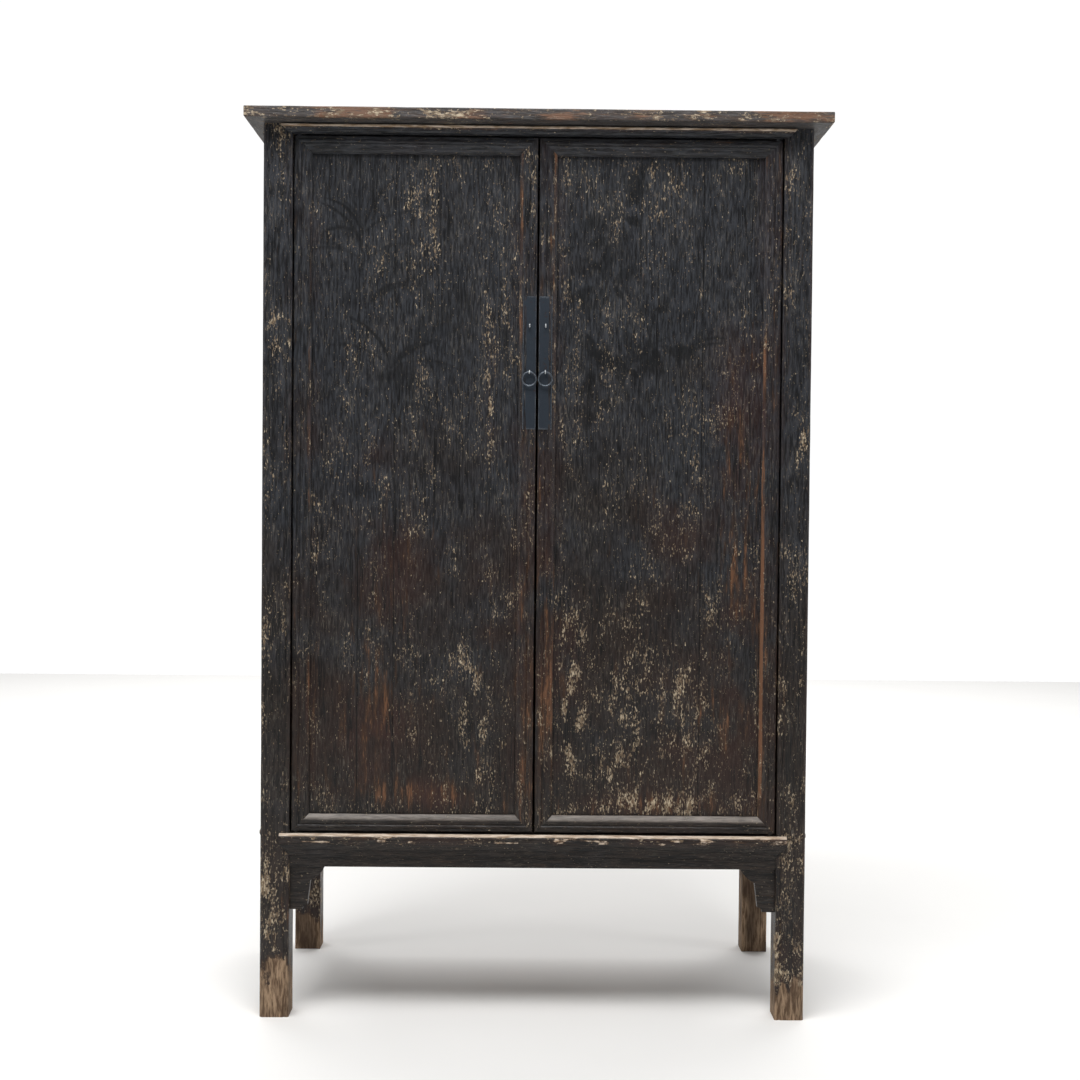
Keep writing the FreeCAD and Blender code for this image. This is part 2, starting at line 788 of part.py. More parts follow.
top_tongue = block("top_tongue", both(f"cap_inner_x + {reach}"), both(f"cap_inner_y + {reach}"), tongue_z)
top_field = block(
    "top_field",
    both("cap_inner_x - joint_gap"),
    both("cap_inner_y - joint_gap"),
    (tongue_z[0], "whole_high - top_panel_drop"),
)
finish("top_panel", join("top_panel_whole", [top_tongue, top_field]))

# doors: local y of a member runs in from the door's edge, local z from its back to its face
door_outline = (
    ("0", "0"),
    ("0", "door_band_level - door_arris", "door_arris"),
    ("door_arris", "door_band_level"),
    ("door_band_wide", "door_band_level", "door_bead_radius"),
    ("door_band_wide + door_bead_wide", "door_band_level"),
    (
        "door_band_wide + door_bead_wide + door_quirk_wide / 2",
        "door_band_level - door_quirk_deep",
    ),
    (
        "door_band_wide + door_bead_wide + door_quirk_wide",
        "door_band_level",
        "door_swell_radius",
    ),
    ("door_frame_wide - door_swell_edge", "door_lip_level"),
    ("door_frame_wide", "door_lip_level"),
    ("door_frame_wide", "0"),
)
door_ways = {
    "bottom": axes((1, 0, 0), (0, 0, 1)),
    "right": axes((0, 0, 1), (-1, 0, 0)),
    "top": axes((-1, 0, 0), (0, 0, -1)),
    "left": axes((0, 0, -1), (1, 0, 0)),
}


def wire_fitting(name, x, z):
    """A loop of wire in front of the plate, its leg through the door, and its ends bent over behind."""
    ring = loop(name + "_loop", "x", "eye_loop", "wire_radius", (x, "eye_y", z))
    start = (x, "eye_y + eye_loop", z)
    leg = rod(name + "_leg", "y", "wire_radius", start, "door_back + wire_radius - eye_y - eye_loop")
    clench = rod(
        name + "_clench",
        "z",
        "wire_radius",
        (x, "door_back + wire_radius", f"{z} - clench_long"),
        "2 * clench_long",
    )
    return join(name + "_wire", [ring, leg, clench])


def wire_hole(name, x, z):
    """The hole for a fitting's leg through the plate and the door."""
    start = (x, "plate_front - plate_thick", z)
    long = "door_back - plate_front + 2 * plate_thick"
    return rod(name + "_hole", "y", "wire_radius + joint_gap", start, long)


def door(side):
    """One door: a mitred frame round a panel, with its pivots, battens and iron."""
    way = sides[side]
    name = "door_" + side
    edge = "door_frame_wide"
    x_left, x_right = span(way, "door_inner", "door_outer")
    starts = {
        "bottom": (x_left, "door_back", "door_low"),
        "right": (x_right, "door_back", "door_low"),
        "top": (x_right, "door_back", "door_top"),
        "left": (x_left, "door_back", "door_top"),
    }
    members = {}
    for place, turn in door_ways.items():
        long = "door_wide" if place in ("bottom", "top") else "door_high"
        member_name = f"{name}_{place}"
        at = starts[place]
        members[place] = mitred(member_name, door_outline, long, edge, "door_thick", turn, at)
    outer, meeting = ("right", "left") if way > 0 else ("left", "right")

    # blocks of the stiles reach through the corners
    block_y = ("door_back - door_block_thick", "door_back")
    blocks = {}
    for stile, x in (
        (outer, span(way, "door_outer - door_block_wide", "door_outer")),
        (meeting, span(way, "door_inner", "door_inner + door_block_wide")),
    ):
        blocks[stile] = [
            block(name + "_low_block", x, block_y, ("door_low", "door_low + door_block_high")),
            block(name + "_top_block", x, block_y, ("door_top - door_block_high", "door_top")),
        ]
    pivot = rod(
        name + "_pivot",
        "z",
        "pivot_radius",
        (f"{way} * pivot_x", "pivot_y", "door_low - pivot_low_long"),
        "door_high + pivot_low_long + pivot_top_long",
    )

    # panel in its groove, resting on the bottom of it
    tongue_y = ("door_back - door_tongue_low - tongue_thick", "door_back - door_tongue_low")
    near = f"door_inner + {edge}"
    far = f"door_outer - {edge}"
    low = f"door_low + {edge}"
    high = f"door_top - {edge}"
    groove = block(
        name + "_groove",
        span(way, f"{near} - groove_deep", f"{far} + groove_deep"),
        tongue_y,
        (f"{low} - groove_deep", f"{high} + groove_deep"),
    )
    tongue = block(
        name + "_tongue",
        span(way, f"{near} - groove_deep + joint_gap", f"{far} + groove_deep - joint_gap"),
        tongue_y,
        (f"{low} - groove_deep", f"{high} + groove_deep - joint_gap"),
    )
    field = block(
        name + "_field",
        span(way, f"{near} + joint_gap", f"{far} - joint_gap"),
        (tongue_y[0], "door_back - door_panel_back"),
        (f"{low} + joint_gap", f"{high} - joint_gap"),
    )
    finish(name + "_panel", join(name + "_panel_whole", [tongue, field]))

    # three battens over the panel's back, tenoned into the stiles
    battens = []
    batten_tenons = []
    for quarter in (1, 2, 3):
        middle = f"door_low + door_high * {quarter} / 4"
        reach = "door_batten_high / 2"
        battens.append(
            block(
                name + "_batten",
                span(way, near, far),
                ("door_back - door_panel_back", "door_back"),
                (f"{middle} - {reach}", f"{middle} + {reach}"),
            )
        )
        reach = "(door_batten_high / 2 - door_batten_shoulder)"
        batten_tenons.append(
            block(
                name + "_batten_tenon",
                span(way, f"{near} - batten_tenon_long", f"{far} + batten_tenon_long"),
                ("door_back - door_panel_back + 1.5", "door_back - 1.5"),
                (f"{middle} - {reach}", f"{middle} + {reach}"),
            )
        )
    finish(name + "_battens", join(name + "_battens_whole", [*battens, *batten_tenons]))

    # iron: a plate let in flush with its seat, a staple for the lock, and an eye with its ring
    across = f"{way} * fitting_x"
    holes = [wire_hole(name + "_staple", across, "staple_z"), wire_hole(name + "_eye", across, "eye_z")]
    plate_x = ("door_inner + plate_edge", "door_inner + plate_edge + plate_wide")
    plate = block(
        name + "_plate_blank",
        span(way, *plate_x),
        ("plate_front", "plate_back"),
        ("plate_low", "plate_low + plate_high"),
    )
    finish(name + "_face_plate", cut(name + "_plate_drilled", plate, holes))
    plate_seat = block(
        name + "_plate_seat",
        span(way, f"{plate_x[0]} - joint_gap", f"{plate_x[1]} + joint_gap"),
        ("door_front", "plate_back"),
        ("plate_low - joint_gap", "plate_low + plate_high + joint_gap"),
    )
    finish(name + "_lock_staple", wire_fitting(name + "_staple", across, "staple_z"))
    finish(name + "_ring_eye", wire_fitting(name + "_eye", across, "eye_z"))
    ring_middle = (across, "eye_y", "eye_z - ring_radius")
    finish(name + "_ring_pull", loop(name + "_ring", "y", "ring_radius", "ring_bar", ring_middle))

    # stiles run through the corners, the rails are notched round their blocks
    stile = join(name + "_outer_blank", [members[outer], *blocks[outer], pivot])
    finish(name + "_outer_stile", cut(name + "_outer_cut", stile, [groove, *batten_tenons]))
    stile = join(name + "_meeting_blank", [members[meeting], *blocks[meeting]])
    tools = [groove, *batten_tenons, plate_seat, *holes]
    finish(name + "_meeting_stile", cut(name + "_meeting_cut", stile, tools))
    notches = [groove, pivot, *blocks[outer], *blocks[meeting]]
    for place in ("bottom", "top"):
        notched = cut(f"{name}_{place}_notched", members[place], notches)
        finish(f"{name}_{place}_rail", notched)


for side in sides:
    door(side)

doc.recompute()
failed = [item.Label for item in doc.Objects if {"Invalid", "Error"} & set(item.State)]
if failed:
    raise RuntimeError("not recomputed: " + ", ".join(failed))
for name, item in nodes.items():
    if item.Shape.isNull() or not item.Shape.isValid():
        raise RuntimeError("not a good solid: " + name)
    if item.Label != name:
        raise RuntimeError(f"label {item.Label} taken for {name}")
os.makedirs("parts", exist_ok=True)
for name, item in nodes.items():
    item.Shape.exportStep(f"parts/{name}.step")
print(len(nodes), "sub-parts written")
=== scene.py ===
import itertools
import math
import bpy
import numpy as np
from mathutils import Matrix, Vector


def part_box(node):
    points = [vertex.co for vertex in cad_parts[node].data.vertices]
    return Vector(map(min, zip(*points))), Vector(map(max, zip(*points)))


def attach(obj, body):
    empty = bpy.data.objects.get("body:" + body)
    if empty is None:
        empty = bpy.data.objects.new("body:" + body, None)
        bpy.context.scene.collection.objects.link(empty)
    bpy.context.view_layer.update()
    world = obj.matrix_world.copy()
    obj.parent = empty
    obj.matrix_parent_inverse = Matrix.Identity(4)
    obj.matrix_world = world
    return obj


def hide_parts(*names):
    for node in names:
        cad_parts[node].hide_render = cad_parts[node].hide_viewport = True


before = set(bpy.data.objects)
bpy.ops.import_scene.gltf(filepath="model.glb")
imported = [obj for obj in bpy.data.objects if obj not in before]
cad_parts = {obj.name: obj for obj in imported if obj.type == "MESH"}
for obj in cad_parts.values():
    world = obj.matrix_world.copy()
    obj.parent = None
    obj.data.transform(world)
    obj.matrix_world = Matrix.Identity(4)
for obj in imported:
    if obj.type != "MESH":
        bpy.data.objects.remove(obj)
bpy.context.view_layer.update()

# A two-door cabinet in black lacquer over softwood, worn through at its edges. Metres, +Z up, front at -Y.
# Every visible moulding is a profile carried along a straight line; u runs in from a member's outer edge
# and v up from its back or underside.

print("frame loaded:", len(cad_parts), "nodes")


def linear(code):
    # sRGB hex to linear light: c / 12.92 near black, else ((c + 0.055) / 1.055) ^ 2.4
    parts = [int(code[start:start + 2], 16) / 255 for start in (1, 3, 5)]
    return (*[c / 12.92 if c <= 0.04045 else ((c + 0.055) / 1.055) ** 2.4 for c in parts], 1.0)


def smoothNoise(points, cell, seed):
    # value noise: a random number at each corner of a lattice, blended with 3t^2 - 2t^3 in between
    grid = np.asarray(points, float) / np.asarray(cell, float)
    low = np.floor(grid).astype(np.int64)
    part = grid - low
    part = part * part * (3 - 2 * part)
    total = np.zeros(len(grid))
    for corner in itertools.product((0, 1), repeat=3):
        spot = (low + corner) @ np.array([73856093, 19349663, 83492791]) + seed * 1013904223
        spot = (spot ^ (spot >> 13)) * 1274126177
        value = ((spot ^ (spot >> 16)) & 0xFFFFF) / 0xFFFFF
        total += value * np.prod(np.where(corner, part, 1 - part), axis=1)
    return total


def ramp(values, low, high):
    # 0 below low, 1 above high, and 3t^2 - 2t^3 in between
    t = np.clip((values - low) / (high - low), 0, 1)
    return t * t * (3 - 2 * t)


def profilePoints(corners, step):
    # straight runs and arcs through the corners; a third entry is the arc's radius, bulging to the left.
    # Points crowd towards the ends of a straight run as (1 - cos) / 2 does.
    points = []
    for index, corner in enumerate(corners):
        start = np.array(corner[:2])
        chord = np.array(corners[(index + 1) % len(corners)][:2]) - start
        length = math.hypot(*chord)
        if len(corner) == 3:
            radius = corner[2]
            steps = np.arange(max(6, round(length / step * 1.4)))
            left = np.array([-chord[1], chord[0]]) / length
            rise = math.sqrt(max(radius ** 2 - length ** 2 / 4, 0))
            middle = start + chord / 2 - left * math.copysign(rise, radius)
            first = math.atan2(*(start - middle)[::-1])
            last = math.atan2(*(start + chord - middle)[::-1])
            turn = (last - first + math.pi) % (2 * math.pi) - math.pi
            angles = first + turn * steps / len(steps)
            points.append(middle + abs(radius) * np.stack([np.cos(angles), np.sin(angles)], axis=1))
        else:
            steps = np.arange(max(2, math.ceil(length / step)))
            along = (1 - np.cos(np.pi * steps / len(steps))) / 2
            points.append(start + along[:, None] * chord)
    return np.concatenate(points)


def soften(points, passes):
    # each point moves to half itself and a quarter of each neighbour, which wears the corners round
    for _ in range(passes):
        points = points / 2 + (np.roll(points, 1, axis=0) + np.roll(points, -1, axis=0)) / 4
    return points


def outward(points):
    # unit normals of a closed profile that runs clockwise
    way = np.roll(points, -1, axis=0) - np.roll(points, 1, axis=0)
    normal = np.stack([-way[:, 1], way[:, 0]], axis=1)
    return normal / np.maximum(np.linalg.norm(normal, axis=1, keepdims=True), 1e-9)


def crests(points, reach):
    # how far each point stands outside the same profile worn much rounder, over the reach in metres
    gap = np.linalg.norm(np.roll(points, -1, axis=0) - points, axis=1).mean()
    broad = soften(points, round((reach / gap) ** 2))
    return np.einsum("ij,ij->i", points - broad, outward(points))


sharpFrom = math.radians(38)  # edges that turn more than this stay crisp


def newMesh(name, points, faces, materials, body, replaced, marks=None, faceMaterials=None):
    # one piece from its points and faces, with a number at each point for every mark
    mesh = bpy.data.meshes.new(name)
    mesh.from_pydata(points.tolist(), [], faces)
    for key, values in (marks or {}).items():
        layer = mesh.attributes.new(key, "FLOAT", "POINT")
        layer.data.foreach_set("value", np.asarray(values, np.float32))
    for material in materials:
        mesh.materials.append(material)
    if faceMaterials is not None:
        mesh.polygons.foreach_set("material_index", np.asarray(faceMaterials, np.int32))
    mesh.shade_smooth()
    mesh.set_sharp_from_angle(angle=sharpFrom)
    mesh.update()
    piece = bpy.data.objects.new(name, mesh)
    bpy.context.scene.collection.objects.link(piece)
    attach(piece, body)
    if replaced:
        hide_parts(*replaced)
    return piece


def ringFaces(rows, count):
    # quads between neighbouring rings of the same count, closed round each ring
    row, col = np.meshgrid(np.arange(rows - 1), np.arange(count), indexing="ij")
    after = (col + 1) % count
    quads = [row * count + col, (row + 1) * count + col, (row + 1) * count + after, row * count + after]
    return np.stack(quads, axis=-1).reshape(-1, 4).tolist()


# what old wood does to every moulding, in metres
ageing = {"wornPasses": 3, "crestReach": 0.0035, "crestFull": 0.0007, "unevenDeep": 0.0004,
          "unevenCell": (0.05, 0.05, 0.05), "dentDeep": 0.0011, "dentCell": 0.012, "station": 0.007}
looksBack = -0.7  # v of a normal, below which a face is on the back


def dustAndLitTops(points, normals, most=0.5):
    # grows with how far a face looks up: dust, and a painted highlight on faces lit from above
    return most * ramp(normals[:, 2], 0.25, 0.9) * (0.4 + 0.8 * smoothNoise(points, 0.05, 17))


def member(name, profile, startAt, endAt, turn, origin, look, body, replaced, paint, seed,
           step=0.0025, backMaterial=None, extra=None):
    # point = origin + turn * (x, u, v) with x = startAt(u, v) + t * (endAt(u, v) - startAt(u, v)),
    # then sunk along its normal by the unevenness, and at the crests by dents
    ring = soften(profilePoints(profile, step), ageing["wornPasses"])
    crest = np.clip(crests(ring, ageing["crestReach"]) / ageing["crestFull"], 0, 1)
    normal = outward(ring)
    starts = startAt(ring[:, 0], ring[:, 1])
    ends = endAt(ring[:, 0], ring[:, 1])
    rows = max(2, math.ceil((ends - starts).max() / ageing["station"]) + 1)
    t = np.linspace(0, 1, rows)[:, None]
    local = np.stack([starts + t * (ends - starts),
                      np.broadcast_to(ring[:, 0], (rows, len(ring))),
                      np.broadcast_to(ring[:, 1], (rows, len(ring)))], axis=-1).reshape(-1, 3)
    axes = np.array(turn, float).T
    points = np.array(origin) + local @ axes.T
    normals = np.tile(np.concatenate([np.zeros((len(ring), 1)), normal], axis=1) @ axes.T, (rows, 1))
    crest = np.tile(crest, rows)
    uneven = smoothNoise(points, ageing["unevenCell"], seed)
    dents = ramp(smoothNoise(points, ageing["dentCell"], seed + 1), 0.6, 0.9)
    sunk = ageing["unevenDeep"] * uneven + ageing["dentDeep"] * dents * crest
    points = points - normals * sunk[:, None]
    marks = paint(points, crest, local)
    # faces that look up are paled, as dust and as painted light from above
    marks.setdefault("dust", dustAndLitTops(points, normals))
    faces = ringFaces(rows, len(ring))
    faces.append(list(range(len(ring))))
    faces.append([(rows - 1) * len(ring) + n for n in range(len(ring))][::-1])
    materials = [look]
    faceMaterials = None
    if backMaterial:
        materials.append(backMaterial)
        behind = (normal[:, 1] + np.roll(normal[:, 1], -1) < 2 * looksBack).astype(int)
        faceMaterials = np.concatenate([np.tile(behind, rows - 1), [0, 0]])
    if extra:
        morePoints, moreFaces = extra
        faces += [[n + len(points) for n in face] for face in moreFaces]
        points = np.concatenate([points, morePoints])
        marks = {key: np.concatenate([v, np.zeros(len(morePoints))]) for key, v in marks.items()}
        if faceMaterials is not None:
            faceMaterials = np.concatenate([faceMaterials, np.zeros(len(moreFaces), int)])
    return newMesh(name, points, faces, materials, body, replaced, marks, faceMaterials)


def tube(path, radius, closed=False, sides=16):
    # a round bar along a path in a plane: ring points = path + radius * (cos a * side + sin a * up)
    path = np.array(path, float)
    if closed:
        way = np.roll(path, -1, axis=0) - np.roll(path, 1, axis=0)
    else:
        way = np.gradient(path, axis=0)
    way /= np.linalg.norm(way, axis=1, keepdims=True)
    # flat is square to the path's plane; a straight path takes any direction across it
    flat = np.linalg.svd(path - path.mean(axis=0))[2][2] if len(path) > 2 else None
    if flat is None or np.abs(way @ flat).max() > 0.9:
        flat = np.array([1.0, 0, 0]) if abs(way[0][0]) < 0.5 else np.array([0, 1.0, 0])
    side = np.cross(way, flat)
    side /= np.linalg.norm(side, axis=1, keepdims=True)
    up = np.cross(side, way)
    angle = np.arange(sides) * 2 * np.pi / sides
    radius = np.broadcast_to(radius, len(path))
    ring = np.cos(angle)[None, :, None] * side[:, None] + np.sin(angle)[None, :, None] * up[:, None]
    points = (path[:, None] + radius[:, None, None] * ring).reshape(-1, 3)
    rows = len(path)
    if closed:
        faces = [[n % (rows * sides) for n in face] for face in ringFaces(rows + 1, sides)]
    else:
        faces = ringFaces(rows, sides)
        faces.append(list(range(sides)))
        faces.append([(rows - 1) * sides + n for n in range(sides)][::-1])
    return points, faces


def together(*parts):
    # several closed shells in one mesh
    points, faces = [], []
    for morePoints, moreFaces in parts:
        start = sum(len(p) for p in points)
        faces += [[n + start for n in face] for face in moreFaces]
        points.append(morePoints)
    return np.concatenate(points), faces


def add(tree, kind, inputs=None, out=0, **settings):
    # adds a node, sets it, and fills or links its sockets by name or number; returns one of its outputs
    item = tree.nodes.new("ShaderNode" + kind)
    for key, value in settings.items():
        setattr(item, key, value)
    for key, value in (inputs or {}).items():
        if isinstance(value, bpy.types.NodeSocket):
            tree.links.new(value, item.inputs[key])
        else:
            item.inputs[key].default_value = value
    return item.outputs[out] if item.outputs else None


def newMaterial(name):
    # a material with an empty tree, and the tree
    material = bpy.data.materials.new(name)
    material.use_nodes = True
    material.node_tree.nodes.clear()
    return material, material.node_tree


def blend(tree, factor, first, second):
    # first * (1 - factor) + second * factor
    return add(tree, "Mix", {0: factor, 6: first, 7: second}, out=2, data_type="RGBA")


def maths(tree, operation, *values):
    # one sum on its values, in order
    return add(tree, "Math", dict(enumerate(values)), operation=operation)


def threshold(tree, value, low, high):
    # 0 below low, 1 above high, smooth in between
    return add(tree, "MapRange", {0: value, 1: low, 2: high}, interpolation_type="SMOOTHSTEP")


def along(tree, grain, ratio):
    # object coordinates pressed together along the grain, so that a pattern runs long that way
    scale = [1.0, 1.0, 1.0]
    scale["xyz".index(grain)] = ratio
    return add(tree, "Mapping", {0: add(tree, "TexCoord", out=3), 3: scale})


def mark(tree, name):
    # a number that the mesh carries at each point, 0 where it has none
    return add(tree, "Attribute", attribute_name=name, out=2)


def noise(tree, coords, size, detail=3.0, roughness=0.6):
    # size is the width of one blotch in metres
    return add(tree, "TexNoise", {0: coords, 2: 1 / size, 3: detail, 4: roughness})


# black lacquer brushed on softwood: a deep satin black, brown lower down, dragged into fine streaks along
# the grain, flaked to beige ground and bare wood. Its pale dust colour also paints light on faces that look
# up
lacquer = {"blueDark": "#131417", "blueLight": "#36383d", "brownDark": "#110d0b", "brownLight": "#2d2520",
           "streak": "#6b655d", "red": "#46301f", "orange": "#80573c", "ghost": "#0e0f11",
           "ground": "#75634f", "cream": "#c9b99f", "grime": "#3a2b20", "dust": "#bdb3aa",
           "glow": "#40201a", "crack": "#08080a"}
paleEdgesAndHighlight = ("#a88c70", "#ecdac5")  # wood at the rails' rubbed edges, dark and light, pale enough to paint a highlight on the rails' noses and top edges


def lacquerFinish(name, grain, flecks, warm, streaks, woods=("#5e4937", "#a38a70")):
    material, tree = newMaterial(name)
    plain = add(tree, "TexCoord", out=3)
    long = along(tree, grain, 0.13)
    oval = along(tree, grain, 0.42)
    height = add(tree, "SeparateXYZ", {0: plain}, out=2)
    # brown comes through towards the foot of the case, blue-black holds at the top, in clouds 0.16 m wide
    cloud = noise(tree, plain, 0.16, 4)
    low = add(tree, "MapRange", {0: height, 1: 1.45, 2: 0.45})
    tone = maths(tree, "MULTIPLY_ADD", low, 0.7, maths(tree, "MULTIPLY_ADD", cloud, 1.4, -0.7))
    tone = threshold(tree, tone, 0.05, 0.7)
    dark = blend(tree, tone, linear(lacquer["blueDark"]), linear(lacquer["brownDark"]))
    light = blend(tree, tone, linear(lacquer["blueLight"]), linear(lacquer["brownLight"]))
    # dragged streaks 4 mm wide and 30 mm long, from black in the valleys to a greyer ridge
    drag = noise(tree, long, 0.0042, 4, 0.62)
    colour = blend(tree, threshold(tree, drag, 0.36, 0.66), dark, light)
    # pale dry streaks on the ridges, thick in some places and missing in others
    dry = noise(tree, long, 0.0026, 3, 0.6)
    patchy = threshold(tree, noise(tree, oval, 0.045, 3), 0.38, 0.66)
    streak = maths(tree, "MULTIPLY", threshold(tree, dry, 0.53, 0.7),
                   maths(tree, "MULTIPLY_ADD", patchy, 0.85, 0.15))
    colour = blend(tree, maths(tree, "MULTIPLY", streak, streaks), colour, linear(lacquer["streak"]))
    # a dull red glow where the coats above have gone thin
    glow = maths(tree, "MULTIPLY", mark(tree, "warm"), threshold(tree, cloud, 0.38, 0.62))
    colour = blend(tree, maths(tree, "MULTIPLY", glow, 0.5), colour, linear(lacquer["glow"]))
    # hairline cracks that wander along the grain, where a slow noise crosses its middle value
    wander = noise(tree, along(tree, grain, 0.035), 0.013, 2)
    crack = threshold(tree, maths(tree, "ABSOLUTE", maths(tree, "SUBTRACT", wander, 0.5)), 0.03, 0.008)
    crack = maths(tree, "MULTIPLY", crack, threshold(tree, noise(tree, oval, 0.06, 2), 0.45, 0.6))
    colour = blend(tree, maths(tree, "MULTIPLY", crack, 0.85), colour, linear(lacquer["crack"]))
    # thin lacquer rubbed to its red-brown ground, in long patches, with orange where it is thinnest
    rub = noise(tree, long, 0.014, 5, 0.65)
    rubAt = maths(tree, "MULTIPLY_ADD", maths(tree, "ADD", mark(tree, "warm"), warm), -0.24, 0.66)
    rubbed = threshold(tree, rub, rubAt, maths(tree, "ADD", rubAt, 0.2))
    colour = blend(tree, maths(tree, "MULTIPLY", rubbed, 0.62), colour, linear(lacquer["red"]))
    thin = maths(tree, "MULTIPLY_ADD", dry, 0.5, maths(tree, "SUBTRACT", rub, rubAt))
    thin = threshold(tree, thin, 0.38, 0.5)
    colour = blend(tree, maths(tree, "MULTIPLY", thin, 0.55), colour, linear(lacquer["orange"]))
    # all but vanished painting, a little darker than the ground
    colour = blend(tree, maths(tree, "MULTIPLY", mark(tree, "ghost"), 0.85), colour, linear(lacquer["ghost"]))
    # flakes 2 to 5 mm across, gathered in clusters, each with a rubbed rim
    broad = threshold(tree, noise(tree, oval, 0.09, 3), 0.42, 0.62)
    cluster = threshold(tree, noise(tree, oval, 0.022, 4), 0.44, 0.62)
    density = maths(tree, "MULTIPLY_ADD", broad, flecks, mark(tree, "flecks"))
    density = maths(tree, "MULTIPLY", density, maths(tree, "MULTIPLY_ADD", cluster, 0.9, 0.25))
    flakeAt = maths(tree, "MULTIPLY_ADD", density, -0.23, 0.685)
    spots = noise(tree, oval, 0.0029, 3, 0.6)
    flake = threshold(tree, spots, flakeAt, maths(tree, "ADD", flakeAt, 0.03))
    halo = threshold(tree, spots, maths(tree, "SUBTRACT", flakeAt, 0.05), flakeAt)
    colour = blend(tree, maths(tree, "MULTIPLY", halo, 0.3), colour, linear(lacquer["ground"]))
    pale = threshold(tree, noise(tree, oval, 0.005, 2), 0.42, 0.66)
    fleckColour = blend(tree, pale, linear(lacquer["ground"]), linear(lacquer["cream"]))
    colour = blend(tree, maths(tree, "MULTIPLY", flake, 0.85), colour, fleckColour)
    # bare wood where edges are rubbed through, ragged along the grain; on the rails' noses and top edges this
    # pale wood is also a painted highlight
    ragged = noise(tree, oval, 0.007, 5, 0.7)
    bareness = maths(tree, "ADD", mark(tree, "wear"), maths(tree, "MULTIPLY_ADD", ragged, 1.5, -1.15))
    bareMask = threshold(tree, bareness, 0.25, 0.5)
    rim = threshold(tree, bareness, 0.02, 0.3)
    colour = blend(tree, maths(tree, "MULTIPLY", rim, 0.55), colour, linear(lacquer["red"]))
    wood = blend(tree, threshold(tree, drag, 0.38, 0.62), linear(woods[0]), linear(woods[1]))
    wood = blend(tree, maths(tree, "MULTIPLY", mark(tree, "grime"), 0.85), wood, linear(lacquer["grime"]))
    colour = blend(tree, bareMask, colour, wood)
    # dust and dry rubbing on what faces up, pale also as a painted highlight where light falls from above
    dust = maths(tree, "MULTIPLY", mark(tree, "dust"), maths(tree, "MULTIPLY", drag, 1.3))
    colour = blend(tree, dust, colour, linear(lacquer["dust"]))
    # sheen: satin where the lacquer holds, dull where it has gone
    gone = maths(tree, "MAXIMUM", flake, bareMask)
    satin = maths(tree, "MULTIPLY_ADD", patchy, 0.14, 0.34)
    rough = add(tree, "Mix", {0: gone, 2: satin, 3: 0.8}, data_type="FLOAT")
    # the skin follows the streaks, and flakes lie about half a millimetre below it
    relief = maths(tree, "MULTIPLY_ADD", gone, -0.5, drag)
    relief = maths(tree, "MULTIPLY_ADD", spots, 0.9, relief)
    relief = maths(tree, "MULTIPLY_ADD", crack, -0.6, relief)
    bump = add(tree, "Bump", {"Strength": 0.9, "Distance": 0.0012, "Height": relief})
    shader = add(tree, "BsdfPrincipled", {"Base Color": colour, "Roughness": rough, "Normal": bump,
                                          "IOR": 1.5, "Specular IOR Level": 0.32})
    add(tree, "OutputMaterial", {0: shader})
    return material


# bare softwood, planed and darkened by smoke and handling
rawWood = {"light": "#735941", "dark": "#453225", "stain": "#2a2019", "joint": "#0d0a08"}


def rawFinish(name, grain, board=None):
    material, tree = newMaterial(name)
    plain = add(tree, "TexCoord", out=3)
    long = along(tree, grain, 0.05)
    rings = noise(tree, along(tree, grain, 0.03), 0.006, 5, 0.6)
    fine = noise(tree, long, 0.0018, 3, 0.6)
    colour = blend(tree, threshold(tree, rings, 0.35, 0.65),
                   linear(rawWood["dark"]), linear(rawWood["light"]))
    colour = blend(tree, maths(tree, "MULTIPLY", threshold(tree, fine, 0.5, 0.3), 0.6), colour,
                   linear(rawWood["stain"]))
    smoke = threshold(tree, noise(tree, plain, 0.12, 4), 0.5, 0.8)
    colour = blend(tree, maths(tree, "MULTIPLY", smoke, 0.8), colour, linear(rawWood["stain"]))
    relief = maths(tree, "MULTIPLY_ADD", rings, 0.5, fine)
    if board:
        # joints between boards: dark within about 0.8 mm of the nearest one
        across, width = board
        place = add(tree, "SeparateXYZ", {0: plain}, out="xyz".index(across))
        place = maths(tree, "PINGPONG", place, width / 2)
        joint = threshold(tree, place, 0.0011, 0.0004)
        colour = blend(tree, joint, colour, linear(rawWood["joint"]))
        relief = maths(tree, "MULTIPLY_ADD", joint, -1.5, relief)
    bump = add(tree, "Bump", {"Strength": 0.7, "Distance": 0.0005, "Height": relief})
    shader = add(tree, "BsdfPrincipled", {"Base Color": colour, "Roughness": 0.72, "Normal": bump})
    add(tree, "OutputMaterial", {0: shader})
    return material


# wrought iron, hammered flat, blued dark and polished by hands at its edges; the wire's bright colour is a
# painted glint
iron = {"dark": "#3b424b", "light": "#878e96", "bright": "#c3c6c8", "rust": "#4a3326"}


